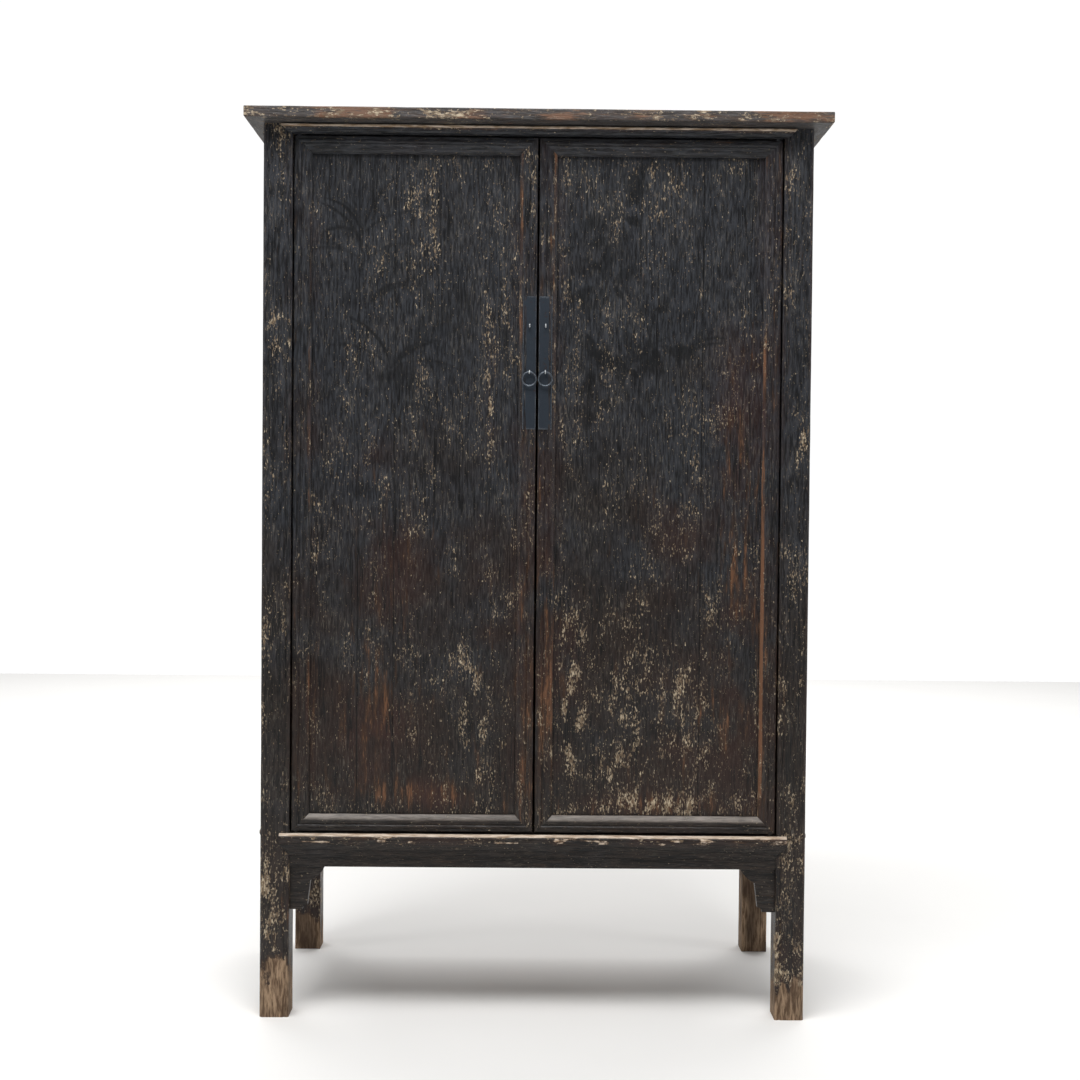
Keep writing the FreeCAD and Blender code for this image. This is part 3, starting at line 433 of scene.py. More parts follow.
def ironFinish(name, shine=0.0, bright="light"):
    material, tree = newMaterial(name)
    plain = add(tree, "TexCoord", out=3)
    hammer = noise(tree, plain, 0.007, 2, 0.5)
    skin = noise(tree, plain, 0.0022, 4, 0.6)
    # rubbed iron is paler: hand polish, and on the wire and the plates' rims also a painted highlight
    rubbed = maths(tree, "ADD", mark(tree, "wear"), maths(tree, "MULTIPLY_ADD", skin, 0.9, shine - 0.55))
    rubbed = threshold(tree, rubbed, 0.15, 0.9)
    colour = blend(tree, rubbed, linear(iron["dark"]), linear(iron[bright]))
    rust = threshold(tree, noise(tree, plain, 0.012, 4, 0.65), 0.6, 0.72)
    colour = blend(tree, maths(tree, "MULTIPLY", rust, 0.5), colour, linear(iron["rust"]))
    rough = add(tree, "Mix", {0: rubbed, 2: 0.52, 3: 0.3}, data_type="FLOAT")
    relief = maths(tree, "MULTIPLY_ADD", skin, 0.35, hammer)
    bump = add(tree, "Bump", {"Strength": 0.6, "Distance": 0.0006, "Height": relief})
    shader = add(tree, "BsdfPrincipled", {"Base Color": colour, "Metallic": 0.85, "Roughness": rough,
                                          "Normal": bump})
    add(tree, "OutputMaterial", {0: shader})
    return material


finishes = {
    "panel": lacquerFinish("black lacquer on upright boards", "z", flecks=0.42, warm=0.1, streaks=0.6),
    "stile": lacquerFinish("black lacquer on door stiles", "z", flecks=0.22, warm=0.25, streaks=0.6),
    "rail": lacquerFinish("black lacquer on rails", "x", flecks=0.12, warm=0.15, streaks=0.35,
                          woods=paleEdgesAndHighlight),
    "railDeep": lacquerFinish("black lacquer on side rails", "y", flecks=0.12, warm=0.15, streaks=0.35,
                              woods=paleEdgesAndHighlight),
    "post": lacquerFinish("black lacquer on posts", "z", flecks=0.5, warm=0.1, streaks=0.6),
    "cap": lacquerFinish("flaking lacquer on the cap", "x", flecks=0.55, warm=0.45, streaks=0.4),
    "capDeep": lacquerFinish("flaking lacquer on the cap's ends", "y", flecks=0.55, warm=0.45, streaks=0.4),
    "raw": rawFinish("smoke-darkened softwood, upright", "z"),
    "rawBoards": rawFinish("smoke-darkened softwood boards, upright", "z", board=("x", 0.185)),
    "rawAcross": rawFinish("smoke-darkened softwood, across", "x"),
    "rawDeep": rawFinish("smoke-darkened softwood, front to back", "y"),
    "iron": ironFinish("hammered iron plate"),
    "ring": ironFinish("iron ring darkened by hands", shine=0.1),
    # the wire is paled by its shine and bright colour, hand polish and painted glints together
    "wire": ironFinish("handled iron wire, pale for painted glints", shine=0.45, bright="bright"),
}
print("finishes made")

# the CAD nodes that stay, by the start of their names
kept = (
    ("apron_front", "rail"), ("apron_", "railDeep"), ("spandrel", "rail"),
    ("side_panel", "panel"), ("back_panel", "rawBoards"), ("back_battens", "rawAcross"),
    ("floor_panel", "rawBoards"), ("floor_battens", "rawDeep"), ("shelf_bearers", "rawDeep"),
    ("shelf_", "rawAcross"), ("top_panel", "rail"), ("top_battens", "rawDeep"),
    ("head_rail_back", "rail"), ("base_rail_back", "rail"),
)
for nodeName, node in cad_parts.items():
    finish = next((key for start, key in kept if nodeName.startswith(start)), None)
    if nodeName.endswith("_battens") and nodeName.startswith("door"):
        finish = "rawAcross"
    if finish:
        node.data.materials.clear()
        node.data.materials.append(finishes[finish])
print("nodes that stay are finished")

# places from the frame
post = {side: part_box("post_front_" + side) for side in ("left", "right")}
postX = post["right"][0].x
halfWide = post["right"][1].x
halfDeep = -post["right"][0].y
postY = halfDeep - (halfWide - postX)
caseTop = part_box("head_rail_back")[1].z

ways = {  # where x and u go for a member on each side of the case, seen from outside
    "front": ((1, 0, 0), (0, 1, 0), (0, 0, 1)),
    "right": ((0, 1, 0), (-1, 0, 0), (0, 0, 1)),
    "back": ((-1, 0, 0), (0, -1, 0), (0, 0, 1)),
    "left": ((0, -1, 0), (1, 0, 0), (0, 0, 1)),
}


def cornerOf(way, x, y):
    # the plan corner at which each side starts, going round
    return {"front": (-x, -y), "right": (x, -y), "back": (x, y), "left": (-x, y)}[way]


# posts: bare at the foot, and rubbed on the bead and the corners
posts = {"bead": 0.009, "rise": 0.0018, "quirk": 0.0025, "quirkDeep": 0.0026, "round": 0.006,
         "bareUpTo": {"front_left": 0.097, "front_right": 0.063, "back_right": 0.33, "back_left": 0.07}}


def postProfile():
    # a square with a bead along each front edge, set off by a quirk, and its outer corner rounded
    side = halfWide - postX
    bead, rise, quirk, deep = posts["bead"], posts["rise"], posts["quirk"], posts["quirkDeep"]
    bulge = (bead ** 2 / 4 + rise ** 2) / (2 * rise)
    return ((0, posts["round"]), (0, side - bead - quirk), (deep, side - bead - quirk / 2),
            (rise, side - bead, bulge), (rise, side), (side, side), (side, rise, bulge),
            (side - bead, rise), (side - bead - quirk / 2, deep), (side - bead - quirk, 0),
            (posts["round"], 0, posts["round"]))


def postPaint(corner):
    # where a post is rubbed: bare below a ragged line at its foot, warm and flaked lower down
    bareTop = posts["bareUpTo"][corner]

    def paint(points, crest, local):
        patches = smoothNoise(points, (0.03, 0.03, 0.25), 11)
        ragged = smoothNoise(points, (0.012, 0.012, 0.06), 12)
        foot = ramp(bareTop + 0.08 * (ragged - 0.5) - points[:, 2], -0.035, 0.03)
        wear = np.maximum(crest * ramp(patches, 0.25, 0.9) * 0.75, foot * 1.25)
        lower = ramp(points[:, 2], 0.5, 0.1)
        outer = ramp(np.abs(points[:, 0]), halfWide - 0.008, halfWide)
        warm = crest * 0.8 + lower * 0.3 + outer * 0.35 * (points[:, 0] > 0)
        flecks = ramp(smoothNoise(points, (0.03, 0.03, 0.12), 13), 0.35, 0.85) * 0.4 + lower * 0.35 + 0.06
        grime = ramp(smoothNoise(points, (0.02, 0.02, 0.05), 14), 0.35, 0.8)
        grime *= 0.9 if "back" in corner else 0.45
        return {"wear": wear, "flecks": flecks, "warm": warm, "grime": grime, "ghost": 0 * wear}

    return paint


for seed, (corner, way) in enumerate((("front_left", "front"), ("front_right", "right"),
                                      ("back_right", "back"), ("back_left", "left"))):
    # a post stands up, so x is up, and u and v run in from its two outer faces
    inX, inY = ways[way][0], ways[way][1]
    origin = (*cornerOf(way, halfWide, halfDeep), 0)
    member("lacquered_post_" + corner, postProfile(), lambda u, v: 0 * u, lambda u, v: 0 * u + caseTop,
           ((0, 0, 1), inX, inY), origin, finishes["post"], "case", ["post_" + corner],
           postPaint(corner), 20 + seed, step=0.003)
print("posts made")

# rails: the front ones lap over the posts with slanting ends, the side ones run from post to post
rails = {
    "head": {"tall": 0.02, "proud": 0.011, "deep": 0.045, "lap": 0.023, "endCut": 0.018, "endRise": 0.015,
             "profile": ((0.011, 0, -0.009), (0.006, 0.008, 0.006), (0, 0.014, 0.006), (0.006, 0.02))},
    "base": {"proud": 0.011, "deep": 0.045, "lap": 0.02, "endCut": 0.0195, "endRise": 0.023,
             "profile": ((0.011, 0, -0.026), (0.005, 0.0225), (0.005, 0.024, 0.013),
                         (0, 0.036, 0.01), (0.01, 0.046))},
}
doorStop = {"in": 0.042, "behind": 0.011, "thick": 0.01}
underSkin = 0.0005  # how far the plain rail starts in front of its moulding's back


def railPaint(part):
    # where a rail is rubbed, and where its pale wood paints a highlight: the head in one line along its nose,
    # the base along its top edge
    def paint(points, crest, local):
        patches = smoothNoise(local, (0.09, 0.02, 0.02), 31)
        nose = ramp(local[:, 1], 0.008, 0.001)
        if part == "head":
            # a pale line along the nose: rubbed wood, and a painted highlight that stays bright in the cap's
            # shade
            noseHighlight = ramp(np.abs(local[:, 2] - 0.0145), 0.0035, 0.0015) * ramp(local[:, 1], 0.004, 0.001)
            wear = noseHighlight * (0.95 + 0.7 * patches)
        else:
            # the lower cupboard edge is rubbed bare in one pale line along its top, which is also a painted
            # highlight where light from above catches it
            top = ramp(local[:, 2], 0.0405, 0.043) * ramp(local[:, 1], 0.03, 0.015)
            chips = ramp(smoothNoise(local, (0.03, 0.004, 0.006), 33), 0.55, 0.8) * nose
            wear = np.maximum(top * (1.35 + 0.4 * patches), chips * 0.8)
        flecks = 0.25 * nose + 0.3 * ramp(patches, 0.5, 0.9)
        return {"wear": np.maximum(wear, crest * 0.5 * patches), "flecks": flecks,
                "warm": 0.3 * nose + 0.3 * crest, "ghost": 0 * wear, "grime": 0.15 + 0 * wear}

    return paint


def boxShell(low, high):
    # six outward faces of a box
    corners = np.array(list(itertools.product(*zip(low, high))))
    faces = [[0, 1, 3, 2], [4, 6, 7, 5], [0, 4, 5, 1], [2, 3, 7, 6], [0, 2, 6, 4], [1, 5, 7, 3]]
    return corners, faces


for part, way in itertools.product(rails, ("front", "left", "right")):
    rail = rails[part]
    node = f"{part}_rail_{way}"
    low = caseTop - rail["tall"] if part == "head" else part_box("base_rail_back")[0].z
    high = caseTop if part == "head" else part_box("base_rail_back")[1].z
    tall = high - low
    lap = rail["lap"] if way == "front" else 0
    long = 2 * (lap + (postX if way == "front" else postY))
    if way == "front":
        origin = cornerOf(way, postX + lap, halfDeep + rail["proud"])
    else:
        origin = cornerOf(way, halfWide + rail["proud"], postY)
    profile = (*rail["profile"], (rail["proud"], tall))

    def cutIn(u, v, rail=rail, lap=lap):
        return (lap > 0) * rail["endCut"] * np.clip(1 - v / rail["endRise"], 0, 1)

    # the rail behind its moulding, between the posts
    inner = np.array([lap, rail["proud"] - underSkin, 0.0])
    outer = np.array([long - lap, rail["proud"] + rail["deep"], tall])
    turn = np.array(ways[way], float).T
    shellPoints, shellFaces = boxShell(inner, outer)
    extra = (np.array([*origin, low]) + shellPoints @ turn.T, shellFaces)
    if way == "front":
        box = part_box(node)
        stopLow, stopHigh = (box[0].z, low) if part == "head" else (high, box[1].z)
        stopWide = postX - doorStop["in"]
        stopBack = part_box("door_left_outer_stile")[1].y + doorStop["behind"]
        strip = boxShell((-stopWide, stopBack - doorStop["thick"], stopLow), (stopWide, stopBack, stopHigh))
        extra = together(extra, strip)
    member("lacquered_" + node, profile, cutIn, lambda u, v, long=long, cut=cutIn: long - cut(u, v),
           ways[way], (*origin, low), finishes["rail" if way == "front" else "railDeep"], "case", [node],
           railPaint(part), 40, step=0.002, extra=extra)
print("rails made")

# cap: four mitred members
cap = {"fascia": 0.022, "arris": 0.002, "reach": 0.03, "bend": 0.1, "wide": 0.095}
capLow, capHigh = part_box("top_frame_front")
capTall = capHigh.z - capLow.z


def capPaint(points, crest, local):
    # where the cap is rubbed: its front face, in patches
    patches = smoothNoise(local, (0.06, 0.02, 0.012), 51)
    fascia = ramp(local[:, 1], 0.006, 0.0)
    under = ramp(local[:, 2], 0.006, 0.0)
    wear = fascia * 0.5 * ramp(patches, 0.4, 0.9) + crest * 0.3 * patches
    warm = fascia * (0.3 + 0.9 * ramp(smoothNoise(local, (0.09, 0.05, 0.05), 52), 0.45, 0.8))
    return {"wear": wear * (1 - 0.6 * under), "flecks": 0.42 * fascia + 0.05, "warm": warm,
            "dust": 0.1 + 0 * wear, "ghost": 0 * wear, "grime": 0.25 * patches}


for seed, (way, turn) in enumerate(ways.items()):
    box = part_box("top_frame_" + way)
    long = box[1].x - box[0].x if way in ("front", "back") else box[1].y - box[0].y
    profile = ((0, capTall - cap["fascia"]), (0, capTall - cap["arris"], cap["arris"]),
               (cap["arris"], capTall), (cap["wide"], capTall), (cap["wide"], 0),
               (cap["reach"], 0, cap["bend"]))
    origin = (*cornerOf(way, capHigh.x, -capLow.y), capLow.z)
    member("lacquered_cap_" + way, profile, lambda u, v: u, lambda u, v, long=long: long - u,
           turn, origin, finishes["cap" if way in ("front", "back") else "capDeep"], "case",
           ["top_frame_" + way], capPaint, 60 + seed, step=0.002)
print("cap made")

# doors: two frames of four mitred members each, round a panel of upright boards
doors = {"thick": 0.03, "wide": 0.037, "arris": 0.004, "band": 0.009, "bandLevel": 0.0275, "bead": 0.006,
         "beadBend": 0.0036, "quirk": 0.0015, "quirkDeep": 0.0015, "swell": 0.014, "lip": 0.022,
         "panelFace": 0.018, "panelBack": 0.008, "tuck": 0.001, "pivot": 0.007, "pivotIn": 0.01,
         "pivotRoot": 0.005, "station": 0.0035}
doorProfile = (
    (0, 0), (0, doors["bandLevel"] - doors["arris"], doors["arris"]), (doors["arris"], doors["bandLevel"]),
    (doors["band"], doors["bandLevel"], doors["beadBend"]),
    (doors["band"] + doors["bead"], doors["bandLevel"]),
    (doors["band"] + doors["bead"] + doors["quirk"] / 2, doors["bandLevel"] - doors["quirkDeep"]),
    (doors["band"] + doors["bead"] + doors["quirk"], doors["bandLevel"], doors["swell"]),
    (doors["wide"] - doors["tuck"], doors["lip"]), (doors["wide"], doors["lip"]), (doors["wide"], 0),
)
doorTurns = {"bottom": ((1, 0, 0), (0, 0, 1), (0, -1, 0)), "right": ((0, 0, 1), (-1, 0, 0), (0, -1, 0)),
             "top": ((-1, 0, 0), (0, 0, -1), (0, -1, 0)), "left": ((0, 0, -1), (1, 0, 0), (0, -1, 0))}


def framePaint(side, place):
    # where a door's frame is rubbed, by its place in the door
    isRail = place in ("top", "bottom")
    outer = place == side
    meeting = not isRail and not outer

    def paint(points, crest, local):
        z = points[:, 2]
        patches = smoothNoise(points, (0.03, 0.03, 0.16) if not isRail else (0.16, 0.03, 0.03), 71)
        front = ramp(local[:, 2], 0.02, 0.023)
        inner = ramp(np.abs(local[:, 1] - 0.033), 0.0045, 0.002) * front
        lower = ramp(z, 1.3, 0.7)
        dust = 0 * z
        if isRail:
            wear = crest * front * (0.15 if place == "top" else 0.45) * ramp(patches, 0.3, 0.9)
            warm = 0.1 + 0.3 * crest * patches
            flecks = 0.1 * front * patches
            if place == "bottom":
                # dust and rubbing on the swell that faces up, heavier on the right door; its paleness also
                # paints the light falling on the swell from above
                swell = ramp(local[:, 1], 0.023, 0.029) * front
                dust = swell * (0.6 if side == "left" else 1.0) * (0.4 + 0.7 * patches)
        else:
            wear = crest * front * 0.5 * ramp(patches, 0.35, 0.9) + inner * 0.25 * patches
            runs = ramp(smoothNoise(points, (0.02, 0.02, 0.22), 73), 0.45, 0.8)
            warm = front * (0.1 + 0.3 * lower * patches) + inner * 0.75 * runs
            flecks = 0.2 * front * patches + inner * 0.4 * runs
        if side == "right" and outer:
            # one long orange rubbing down the inner bead, with a pale line at the panel
            streak = ramp(z, 1.22, 0.98) * ramp(z, 0.42, 0.5)
            warm = warm + 1.6 * inner * streak + 0.2 * front
            pale = ramp(local[:, 1], 0.0345, 0.0358) * ramp(z, 1.2, 0.9) * front
            wear = wear + pale * (0.45 + 0.5 * patches)
        if meeting:
            # rubbed by hands under the plates
            hands = np.exp(-((z - 1.175) / 0.035) ** 2) * front
            wear = wear + 0.5 * hands * patches
            warm = warm + (0.12 + 0.4 * lower * patches) * front
            flecks = flecks + 0.2 * front * patches
        return {"wear": wear, "flecks": flecks, "warm": warm, "ghost": 0 * wear,
                "grime": 0.3 * patches, "dust": dust}

    return paint


# where a panel is flaked, rubbed or stained: middle x, middle z, half width, half height, strength
panelLook = {
    "left": {
        "joints": (-0.364, -0.29),
        "flecks": ((-0.096, 1.245, 0.008, 0.075, 1.1), (-0.105, 1.6, 0.016, 0.2, 0.35),
                   (-0.1, 1.72, 0.05, 0.05, 0.2), (-0.13, 0.65, 0.06, 0.2, 0.42),
                   (-0.396, 0.62, 0.012, 0.055, 0.75), (-0.23, 1.68, 0.05, 0.04, 0.35),
                   (-0.41, 1.1, 0.03, 0.05, 0.3), (-0.21, 1.6, 0.012, 0.05, 0.25),
                   (-0.07, 0.62, 0.02, 0.12, 0.4), (-0.32, 1.28, 0.02, 0.08, 0.2)),
        "warm": ((-0.29, 0.92, 0.09, 0.14, 0.55), (-0.33, 0.62, 0.07, 0.12, 0.75),
                 (-0.24, 0.46, 0.18, 0.035, 0.8), (-0.36, 1.15, 0.05, 0.09, 0.35),
                 (-0.09, 1.28, 0.015, 0.1, 0.6), (-0.1, 0.8, 0.05, 0.25, 0.3)),
    },
    "right": {
        "joints": (0.21, 0.338),
        "flecks": ((0.19, 0.7, 0.12, 0.13, 0.62), (0.08, 0.72, 0.03, 0.16, 0.4),
                   (0.16, 0.52, 0.09, 0.09, 0.3), (0.36, 0.86, 0.02, 0.06, 0.6),
                   (0.34, 0.62, 0.05, 0.12, 0.3), (0.17, 1.15, 0.05, 0.04, 0.25),
                   (0.09, 1.7, 0.05, 0.05, 0.3), (0.42, 1.0, 0.03, 0.3, 0.25),
                   (0.24, 0.435, 0.16, 0.02, 0.7), (0.31, 1.7, 0.08, 0.06, 0.2),
                   (0.1, 0.55, 0.03, 0.1, 0.35)),
        "warm": ((0.415, 0.9, 0.035, 0.35, 0.8), (0.3, 1.0, 0.07, 0.12, 0.45),
                 (0.07, 0.72, 0.025, 0.14, 0.6), (0.4, 1.25, 0.05, 0.15, 0.4),
                 (0.25, 0.44, 0.18, 0.025, 0.7), (0.31, 0.6, 0.09, 0.15, 0.4)),
    },
}


def blots(x, z, spots):
    # sum of soft ovals: strength * exp(-(dx^2 + dz^2))
    total = np.zeros(len(x))
    for middleX, middleZ, wide, tall, strength in spots:
        total += strength * np.exp(-((x - middleX) / wide) ** 2 - ((z - middleZ) / tall) ** 2)
    return total


# old painting, all but vanished: bent blades from a few roots, and small pointed leaves about a stem
foliage = {
    "left": {"roots": ((-0.355, 1.545), (-0.345, 1.46), (-0.36, 1.60), (-0.30, 1.33)), "blades": 5,
             "blade": 0.15, "wide": 0.0024, "stems": (((-0.355, 1.22), (-0.35, 1.60)),),
             "leafed": (((-0.26, 1.36), (-0.17, 1.50)), ((-0.27, 1.25), (-0.25, 1.33))),
             "leaves": 9, "leaf": 0.045, "slim": 0.28, "strength": 0.55},
    "right": {"roots": ((0.30, 1.36),), "blades": 3, "blade": 0.09, "wide": 0.0022,
              "stems": (((0.10, 1.22), (0.14, 1.62)), ((0.12, 1.34), (0.30, 1.41))),
              "leafed": (((0.08, 1.24), (0.14, 1.66)), ((0.12, 1.30), (0.31, 1.42)),
                         ((0.10, 1.55), (0.21, 1.72))),
              "leaves": 17, "leaf": 0.030, "slim": 0.45, "strength": 0.9},
}


def stroke(x, z, path, wide):
    # 1 within a half width of the path that swells in the middle and tapers to its ends, 0 outside
    shape = np.zeros(len(x))
    near = ((x > path[:, 0].min() - 0.01) & (x < path[:, 0].max() + 0.01)
            & (z > path[:, 1].min() - 0.01) & (z < path[:, 1].max() + 0.01))
    t = np.linspace(0, 1, len(path))
    half = wide * (0.35 + np.sin(np.pi * t))
    away = np.hypot(x[near, None] - path[:, 0], z[near, None] - path[:, 1]) - half
    shape[near] = ramp(-away.min(axis=1), -0.0016, 0.0008)
    return shape


def paintedFoliage(x, z, side):
    # the strongest of all the strokes and leaves at each point
    look = foliage[side]
    draw = np.random.default_rng(5 if side == "left" else 9)
    t = np.linspace(0, 1, 40)
    total = np.zeros(len(x))
    for root, tip in look["stems"]:
        path = np.stack([root[0] + (tip[0] - root[0]) * t + 0.008 * np.sin(5 * t),
                         root[1] + (tip[1] - root[1]) * t], 1)
        total = np.maximum(total, 0.7 * stroke(x, z, path, look["wide"] * 0.8))
    for root in look["roots"]:
        for _ in range(look["blades"]):
            # a blade leaves its root at one angle from upright and bends over steadily
            start = draw.uniform(-0.9, 1.1)
            angle = start + math.copysign(draw.uniform(0.5, 1.3), start) * t
            long = look["blade"] * draw.uniform(0.5, 1.2)
            path = np.stack([root[0] + long * np.cumsum(np.sin(angle)) / len(t),
                             root[1] + long * np.cumsum(np.cos(angle)) / len(t)], 1)
            total = np.maximum(total, draw.uniform(0.5, 1) * stroke(x, z, path, look["wide"]))
    for root, tip in look["leafed"]:
        for _ in range(look["leaves"]):
            # leaf: a pointed oval, |along| ^ 1.6 + |across| < 1
            middle = np.array(root) + (np.array(tip) - root) * draw.uniform() + draw.normal(0, 0.024, 2)
            angle = draw.uniform(0, np.pi)
            long = look["leaf"] * draw.uniform(0.5, 1.3)
            dx, dz = x - middle[0], z - middle[1]
            a = (dx * np.cos(angle) + dz * np.sin(angle)) / long
            b = (dz * np.cos(angle) - dx * np.sin(angle)) / (long * look["slim"])
            leaf = ramp(1 - np.abs(a) ** 1.6 - np.abs(b - 0.4 * a * a), 0.0, 0.2)
            total = np.maximum(total, look["strength"] * draw.uniform(0.4, 1) * leaf)
    return total


def panelPaint(side):
    # where a panel is rubbed: its own blots, with its edges, foot, head and joints
    look = panelLook[side]

    def paint(points, crest, local):
        x, z = points[:, 0], points[:, 2]
        patches = smoothNoise(points, (0.025, 0.025, 0.12), 91)
        low, high = x.min(), x.max()
        edge = ramp(np.minimum(x - low, high - x), 0.03, 0.004)
        foot = ramp(z - z.min(), 0.05, 0.01)
        head = ramp(z.max() - z, 0.07, 0.02)
        joint = sum(np.exp(-((x - place) / 0.004) ** 2) for place in look["joints"])
        seam = sum(np.exp(-((x - place) / 0.0013) ** 2) for place in look["joints"])
        seam *= ramp(patches, 0.15, 0.5)
        flecks = blots(x, z, look["flecks"]) + (0.1 * edge + 0.25 * foot + 0.12 * head) * patches
        wear = 0.35 * joint * ramp(patches, 0.4, 0.9) + 0.3 * foot * patches
        warm = blots(x, z, look["warm"]) + 0.25 * edge + 0.2 * ramp(z, 1.0, 0.5)
        return {"wear": wear, "flecks": flecks, "warm": warm,
                "ghost": np.maximum(paintedFoliage(x, z, side), 0.9 * seam),
                "grime": 0.3 * patches}

    return paint


def panelProfile(width, places):
    # back, edge, face with a fine groove at each board joint, edge; u across, v from the door's back
    face, back = doors["panelFace"], doors["panelBack"]
    across = np.arange(0, width, 0.003)
    for place in places:
        across = np.append(across, place + np.array([-0.0012, -0.0006, 0, 0.0006, 0.0012]))
    across = np.sort(across[across > 0.0005])
    groove = sum(np.exp(-((across - place) / 0.0007) ** 2) for place in places)
    boards = np.searchsorted(np.sort(places), across)
    level = face - 0.0008 * groove - 0.00025 * (boards % 2)
    return np.concatenate([[[0, back], [0, face]], np.stack([across, level], axis=1),
                           [[width, face], [width, back]],
                           np.stack([np.linspace(width, 0, 12)[1:-1], np.full(10, back)], axis=1)])


def doorPanel(side, low, high, back):
    # point = (left + u, back - v, bottom + t) for the panel's profile (u, v)
    wide = doors["wide"] - doors["tuck"]
    left, right = low.x + wide, high.x - wide
    bottom, top = low.z + wide, high.z - wide
    ring = panelProfile(right - left, [place - left for place in panelLook[side]["joints"]])
    rows = math.ceil((top - bottom) / doors["station"]) + 1
    t = np.linspace(0, top - bottom, rows)
    u, v = ring[:, 0], ring[:, 1]
    points = np.stack([np.broadcast_to(left + u, (rows, len(ring))),
                       np.broadcast_to(back - v, (rows, len(ring))),
                       np.broadcast_to(bottom + t[:, None], (rows, len(ring)))], axis=-1).reshape(-1, 3)
    front = np.tile(v > doors["panelFace"] - 0.002, rows)
    # the boards' faces have sunk unevenly, by up to 0.8 mm broadly and 0.3 mm finely
    warp = 0.0008 * smoothNoise(points, (0.06, 0.06, 0.3), 95)
    warp += 0.0003 * smoothNoise(points, (0.01, 0.01, 0.05), 96)
    points[:, 1] += front * warp
    # its ring runs the other way about its travel, so its faces are turned
    faces = [face[::-1] for face in ringFaces(rows, len(ring))]
    faces.append(list(range(len(ring)))[::-1])
    faces.append([(rows - 1) * len(ring) + n for n in range(len(ring))])
    behind = ((v < doors["panelBack"] + 1e-6) & (np.roll(v, -1) < doors["panelBack"] + 1e-6)).astype(int)
    marks = panelPaint(side)(points, 0 * points[:, 0], points)
    marks = {key: value * front for key, value in marks.items()}
    newMesh(f"lacquered_door_{side}_panel", points, faces, [finishes["panel"], finishes["raw"]],
            "door_" + side, [f"door_{side}_panel"], marks,
            np.concatenate([np.tile(behind, rows - 1), [0, 0]]))


for side in ("left", "right"):
    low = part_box(f"door_{side}_bottom_rail")[0]
    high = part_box(f"door_{side}_top_rail")[1]
    back = high.y
    origins = {"bottom": (low.x, back, low.z), "right": (high.x, back, low.z),
               "top": (high.x, back, high.z), "left": (low.x, back, high.z)}
    for place, turn in doorTurns.items():
        isRail = place in ("top", "bottom")
        long = high.x - low.x if isRail else high.z - low.z
        node = f"door_{side}_" + (place + "_rail" if isRail else
                                  "outer_stile" if place == side else "meeting_stile")
        extra = None
        if place == side:
            # the outer stile carries the two wooden pivots
            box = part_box(node)
            inward = 1 if side == "left" else -1
            x = (low.x if side == "left" else high.x) + inward * doors["pivotIn"]
            y = back - doors["thick"] + doors["pivotIn"]
            root = doors["pivotRoot"]
            extra = together(*(tube([(x, y, foot), (x, y, tip)], doors["pivot"], sides=32)
                               for foot, tip in ((box[0].z, low.z + root), (high.z - root, box[1].z))))
        member("lacquered_" + node, doorProfile, lambda u, v: u, lambda u, v, long=long: long - u,
               turn, origins[place], finishes["rail" if isRail else "stile"], "door_" + side, [node],
               framePaint(side, place), 80 + len(node), step=0.002,
               backMaterial=finishes["rawAcross" if isRail else "raw"], extra=extra)
    doorPanel(side, low, high, back)
print("doors made")

# iron: plates with soft edges, wire loops with clenched ends, and rings worn thin at the top
ironwork = {"edge": 0.0006, "ringSteps": 96, "loopSteps": 40, "loopTurn": 0.82, "neck": 0.002,
            "legStart": 0.0005, "legTip": 0.6, "barThin": 0.12, "barUneven": 0.05}


def facePlate(side):
    # a flat bar with rounded front edges, carried up the door's edge
    low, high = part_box(f"door_{side}_face_plate")
    wide, tall, thick = high.x - low.x, high.z - low.z, high.y - low.y
    edge = ironwork["edge"]
    profile = ((0, 0), (0, thick - edge, edge), (edge, thick), (wide - edge, thick, edge),
               (wide, thick - edge), (wide, 0))

    def paint(points, crest, local):
        # a pale rim round the plate: polish from hands, and a painted highlight along its edges
        rim = np.minimum.reduce([local[:, 0], tall - local[:, 0], local[:, 1], wide - local[:, 1]])
        worn = ramp(rim, 0.0022, 0.0003) * 0.7
        return {"wear": worn * (0.5 + smoothNoise(points, 0.012, 101))}

    member(f"iron_{side}_plate", profile, lambda u, v: 0 * u, lambda u, v: 0 * u + tall,
           ((0, 0, 1), (-1, 0, 0), (0, -1, 0)), (high.x, high.y, low.z), finishes["iron"], "door_" + side,
           [f"door_{side}_face_plate"], paint, 100, step=0.0012)


